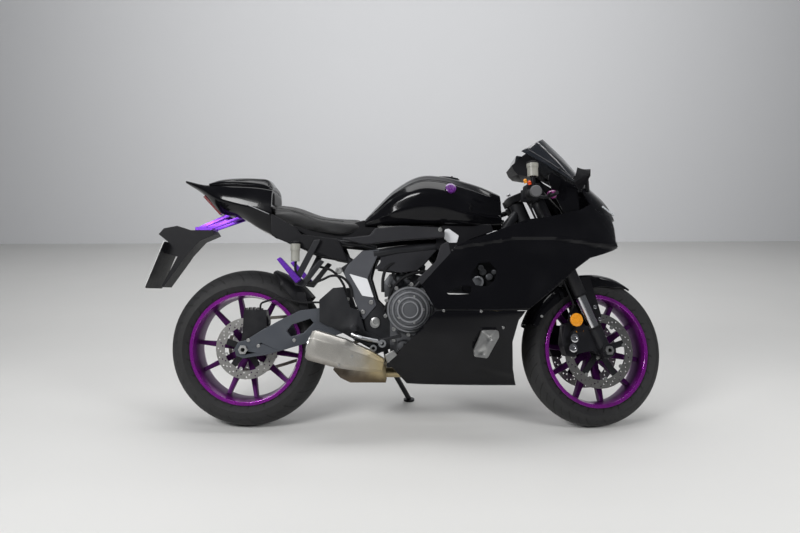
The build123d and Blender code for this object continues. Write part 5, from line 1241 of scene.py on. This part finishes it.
def grip_profile(length):
    """A flange, then a rubber sleeve with fine rings."""
    rings = [
        (8 + (length - 10) * step / GRIP_RINGS, 17.6 if step % 2 else 16.6) for step in range(1, GRIP_RINGS)
    ]
    return [(0, 17), (2, 20.5), (6, 20.5), (8, 17.5), *rings, (length, 17)]


def add_bars():
    for side, sign in SIDES.items():
        inner = Vector((1046, sign * 238, 880))
        run = Vector((1020, sign * 332, 863)) - inner
        grip = [(barrel, inner, run, grip_profile(run.length), 28)]
        fitted(f"grip_{side}", HOSE, "hose_rubber", grip, **ON_FORK)
        end = [(barrel, (1014, sign * 346, 860), run, BAR_END, 28)]
        fitted(f"bar_end_{side}", BAR_GREY, "frame_grey", end, **ON_FORK)
        near, far = sign * 200, sign * 236
        plate(f"switch_box_{side}", SWITCH_BOX, near, far, 8, 5, SATIN, "satin_black", 3, **ON_FORK)


SWITCH_WAY = (-0.3, -0.1, 1)
SWITCH = ((-4, 7), (8, 7), (12, 4))
LEVER_ADJUSTER = ((0, 8), (6, 15), (14, 17), (24, 14), (34, 8))
# Turned pieces on the bars: finish, slot, then each part's place, way out, profile and facets.
BAR_TURNED = {
    "reservoir_cap": (
        SATIN, "satin_black", ((1064, -228, 1004), UP, ((-2, 22.5), (4, 22.5), (6, 19)), 32),
        ((1112, -262, 874), RIGHT, ((0, 9), (12, 9)), 20),
    ),
    "reservoir_stem": (SATIN, "satin_black", ((1064, -228, 905), UP, ((0, 8.5), (44, 8.5), (48, 14)), 20)),
    "lever_adjuster": (
        KNOB_VIOLET, "violet_anodised", ((1154, -230, 886), (-1, -0.15, 0.05), LEVER_ADJUSTER, 24),
    ),
    "stop_switch": (SWITCH_RED, "lamp_red", ((1047, -234, 922), SWITCH_WAY, SWITCH, 20)),
    "start_switch": (LENS_AMBER, "amber", ((1034, -226, 930), SWITCH_WAY, SWITCH, 20)),
}
DASH_FACE = ((1070, 1040), (1082, 1090), (1110, 1086), (1092, 1030))
BAR_CABLES = (
    ((1050, -190, 870), (1090, -150, 840), (1140, -90, 800), (1160, -30, 780)),
    ((1050, 190, 870), (1100, 150, 850), (1150, 90, 810), (1160, 30, 780)),
)


def add_cockpit():
    for name, (finish, slot, *parts) in BAR_TURNED.items():
        fitted(name, finish, slot, [(barrel, *part) for part in parts], **ON_FORK)
    cables = [(pipe, run, 4, 10, 8) for run in BAR_CABLES]
    fitted("bar_cables", HOSE, "hose_rubber", cables, **ON_FORK)
    settled("dash_face", prism(DASH_FACE, -64, 64, 4), LENS_DARK, "smoked_screen")


# ---------------------------------------------------------------- wheels and rear brake
RIVET = ((0, 7.5), (4.6, 7.5), (5, 5), (4.2, 3))
# Disc screws: axle, where it rides, the discs' faces, then the rivets' radius and how many.
DISCS = (
    ("rear", REAR_AXLE, {"body": "rear_wheel"}, (-65,), 84, 6),
    ("front", FRONT_AXLE, {"body": "front_wheel", "place": STEERED}, (-63, 63), 111, 8),
)


def add_disc_bolts():
    for name, axle, where, faces, ring, rivets in DISCS:
        steps = []
        for face in faces:
            inset = 4 if face > 0 else -4
            for turn in spread(5, 0.5):
                steps.append((bolt, wheel_point(axle, 30, turn, face), (0, face, 0), 6, 5))
            for turn in spread(rivets, 0.25):
                steps.append((barrel, wheel_point(axle, ring, turn, face - inset), (0, face, 0), RIVET, 18))
        fitted(f"disc_bolts_{name}", STEEL, "bright_steel", steps, **where)


REAR_CALIPER = ((-8, 412), (-10, 452), (0, 466), (60, 468), (86, 446), (94, 412), (80, 396), (30, 398))
REAR_BRIDGE = ((-6, 448), (-6, 466), (60, 470), (88, 446), (94, 420), (84, 416), (58, 434), (28, 446))
REAR_CALIPER_ARM = ((-14, 300), (-14, 344), (-10, 404), (26, 404), (18, 352), (24, 334), (24, 300))
# Cooling fins on the bridge: foot X and Z, then the two X and the Z of the top.
REAR_FINS = (
    (-4, 458, 1, -2, 478), (11, 460, 16, 13, 480), (26, 460, 31, 28, 480), (41, 460, 46, 43, 479),
    (56, 458, 62, 58, 476),
)
# The caliper's blocks: outline, the two faces across the bike, corner rounding.
REAR_BLOCKS = {
    "outer": (REAR_CALIPER, -88, -71, 8),
    "inner": (REAR_CALIPER, -54, -45, 8),
    "bridge": (REAR_BRIDGE, -88, -45, 8),
    "arm": (REAR_CALIPER_ARM, -82, -72, 8),
    **{f"fin_{number}": (((x, z), (x + 7, z), (front, top), (back, top)), -90, -46, 3)
       for number, (x, z, front, back, top) in enumerate(REAR_FINS)},
}
REAR_PISTONS = (
    ((32, -86, 432), RIGHT, ((0, 21), (7, 21), (9, 17), (9, 6))),
    ((76, -86, 426), RIGHT, ((0, 9), (8, 9), (10, 6)), 20),
)
REAR_SCREWS = ((2, -88, 448), (66, -88, 452), (6, -82, 378), (4, -82, 350))


def add_rear_caliper():
    for name, sizes in REAR_BLOCKS.items():
        nodes = ("rear_caliper",) if name == "outer" else ()
        plate(f"rear_caliper_{name}", *sizes, 2, FORK_BLACK, "fork_black", stands_for=nodes)
    fitted("rear_piston_caps", ENGINE_GREY, "fork_black", [(barrel, *part) for part in REAR_PISTONS])
    screws = [(bolt, at, RIGHT, 6, 4) for at in REAR_SCREWS]
    fitted("rear_caliper_screws", STEEL, "bright_steel", screws)


for add in (
    add_fairings, add_tank, add_tail, add_nose, add_screen, add_guards, add_seat, add_engine, add_frame_trim,
    add_brake_pedal, add_fairing_mounts, add_rear_fittings, add_fork, add_bars, add_cockpit, add_disc_bolts,
    add_rear_caliper,
):
    add()
# The pieces that keep the CAD's own shape, by how far their edges are rounded.
ROUNDING = {
    6: ("airbox", "silencer"),
    5: ("side_covers", "swingarm", "dash", "engine_block"),
    4: ("tail_panels", "plate_hanger", "mirrors"),
    3: ("front_calipers", "rear_caliper", "frame_sliders", "front_rim", "rear_rim", "yokes",
        "pillion_brackets", "pillion_pegs"),
    2: ("clutch_cover", "generator_cover", "handlebar_right", "handlebar_left", "main_frame", "fork_right",
        "fork_left", "headlamp", "exhaust_headers", "footrest_right", "footrest_left", "plate_bracket"),
    1.5: ("side_stand", "radiator"),
    1.2: ("fork_reflectors",),
}
for width, nodes in ROUNDING.items():
    for node in nodes:
        softened(node, width)


# ---------------------------------------------------------------- stage, camera and lamps
CAMERA_AT = Vector((0.64565, -2.51858, 1.02792))
CAMERA_YAW = 0.01179
CAMERA_DOWN = 0.14803
CAMERA_ROLL = -0.0050
FOCAL = 649.98
IMAGE_WIDTH = 800
STAGE_HALF = 14
WALL_BACK = 6.5
# Lamps: where each stands and aims, its two sides, its power and whether a glossy face mirrors it.
LAMPS = (
    ("overhead", (0, 0.3, 3.4), (0, 0, 0.4), (3.6, 1.2), 62, True),
    ("key", (-2.2, -2.6, 2.6), (0, 0, 0.5), (1.4, 0.9), 98, True),
    ("fill", (2.6, -2.4, 2.0), (0.3, 0, 0.5), (1.1, 1.1), 68, False),
    ("wall_wash", (0, 2.4, 4.6), (0, 6.5, 0.6), (9.0, 1.6), 190, True),
)
WORLD_COLOUR = (0.80, 0.83, 0.88, 1)
WORLD_STRENGTH = 0.12


def add_camera():
    data = bpy.data.cameras.new("camera")
    data.lens = data.sensor_width * FOCAL / IMAGE_WIDTH
    data.clip_start = 0.05
    camera = bpy.data.objects.new("camera", data)
    bpy.context.scene.collection.objects.link(camera)
    ground = BIKE.to_translation()
    camera.location = CAMERA_AT + Vector((ground.x, ground.y, 0))
    camera.rotation_euler = (
        Matrix.Rotation(CAMERA_YAW, 3, "Z") @ Matrix.Rotation(pi / 2 - CAMERA_DOWN, 3, "X")
        @ Matrix.Rotation(CAMERA_ROLL, 3, "Z")
    ).to_euler()
    bpy.context.scene.camera = camera


def staged(name, finish, place):
    """A plain square that belongs to the room."""
    mesh = bmesh.new()
    bmesh.ops.create_grid(mesh, x_segments=1, y_segments=1, size=STAGE_HALF)
    mesh.transform(place)
    data = bpy.data.meshes.new(name)
    mesh.to_mesh(data)
    data.materials.append(finish)
    piece = bpy.data.objects.new(name, data)
    bpy.context.scene.collection.objects.link(piece)


def add_stage():
    floor = Finish("floor", (0.60, 0.60, 0.59))
    floor.set(roughness=0.55 + floor.noise(3, 6) * 0.1)
    floor.set(base_color=floor.blend(floor.noise(0.9, 6), (0.60, 0.60, 0.59), (0.66, 0.655, 0.64)))
    staged("floor", floor.material, Matrix())
    wall = Finish("wall", (0.74, 0.745, 0.76))
    wall.set(roughness=0.8 + wall.noise(2, 2) * 0.1)
    staged("wall", wall.material, Matrix.Translation((0, WALL_BACK, 0)) @ Matrix.Rotation(pi / 2, 4, "X"))


def add_lamp(name, at, aim, size, power, glossy):
    data = bpy.data.lights.new(name, "AREA")
    data.shape = "RECTANGLE"
    data.size, data.size_y = size
    data.energy = power
    lamp = bpy.data.objects.new(name, data)
    lamp.location = at
    lamp.rotation_euler = (Vector(aim) - Vector(at)).to_track_quat("-Z", "Y").to_euler()
    lamp.visible_glossy = glossy
    bpy.context.scene.collection.objects.link(lamp)


def add_light():
    world = bpy.data.worlds.new("room")
    world.use_nodes = True
    background = world.node_tree.nodes["Background"]
    background.inputs["Color"].default_value = WORLD_COLOUR
    background.inputs["Strength"].default_value = WORLD_STRENGTH
    bpy.context.scene.world = world
    for lamp in LAMPS:
        add_lamp(*lamp)


add_camera()
add_stage()
add_light()
bpy.context.scene.view_settings.view_transform = "Standard"
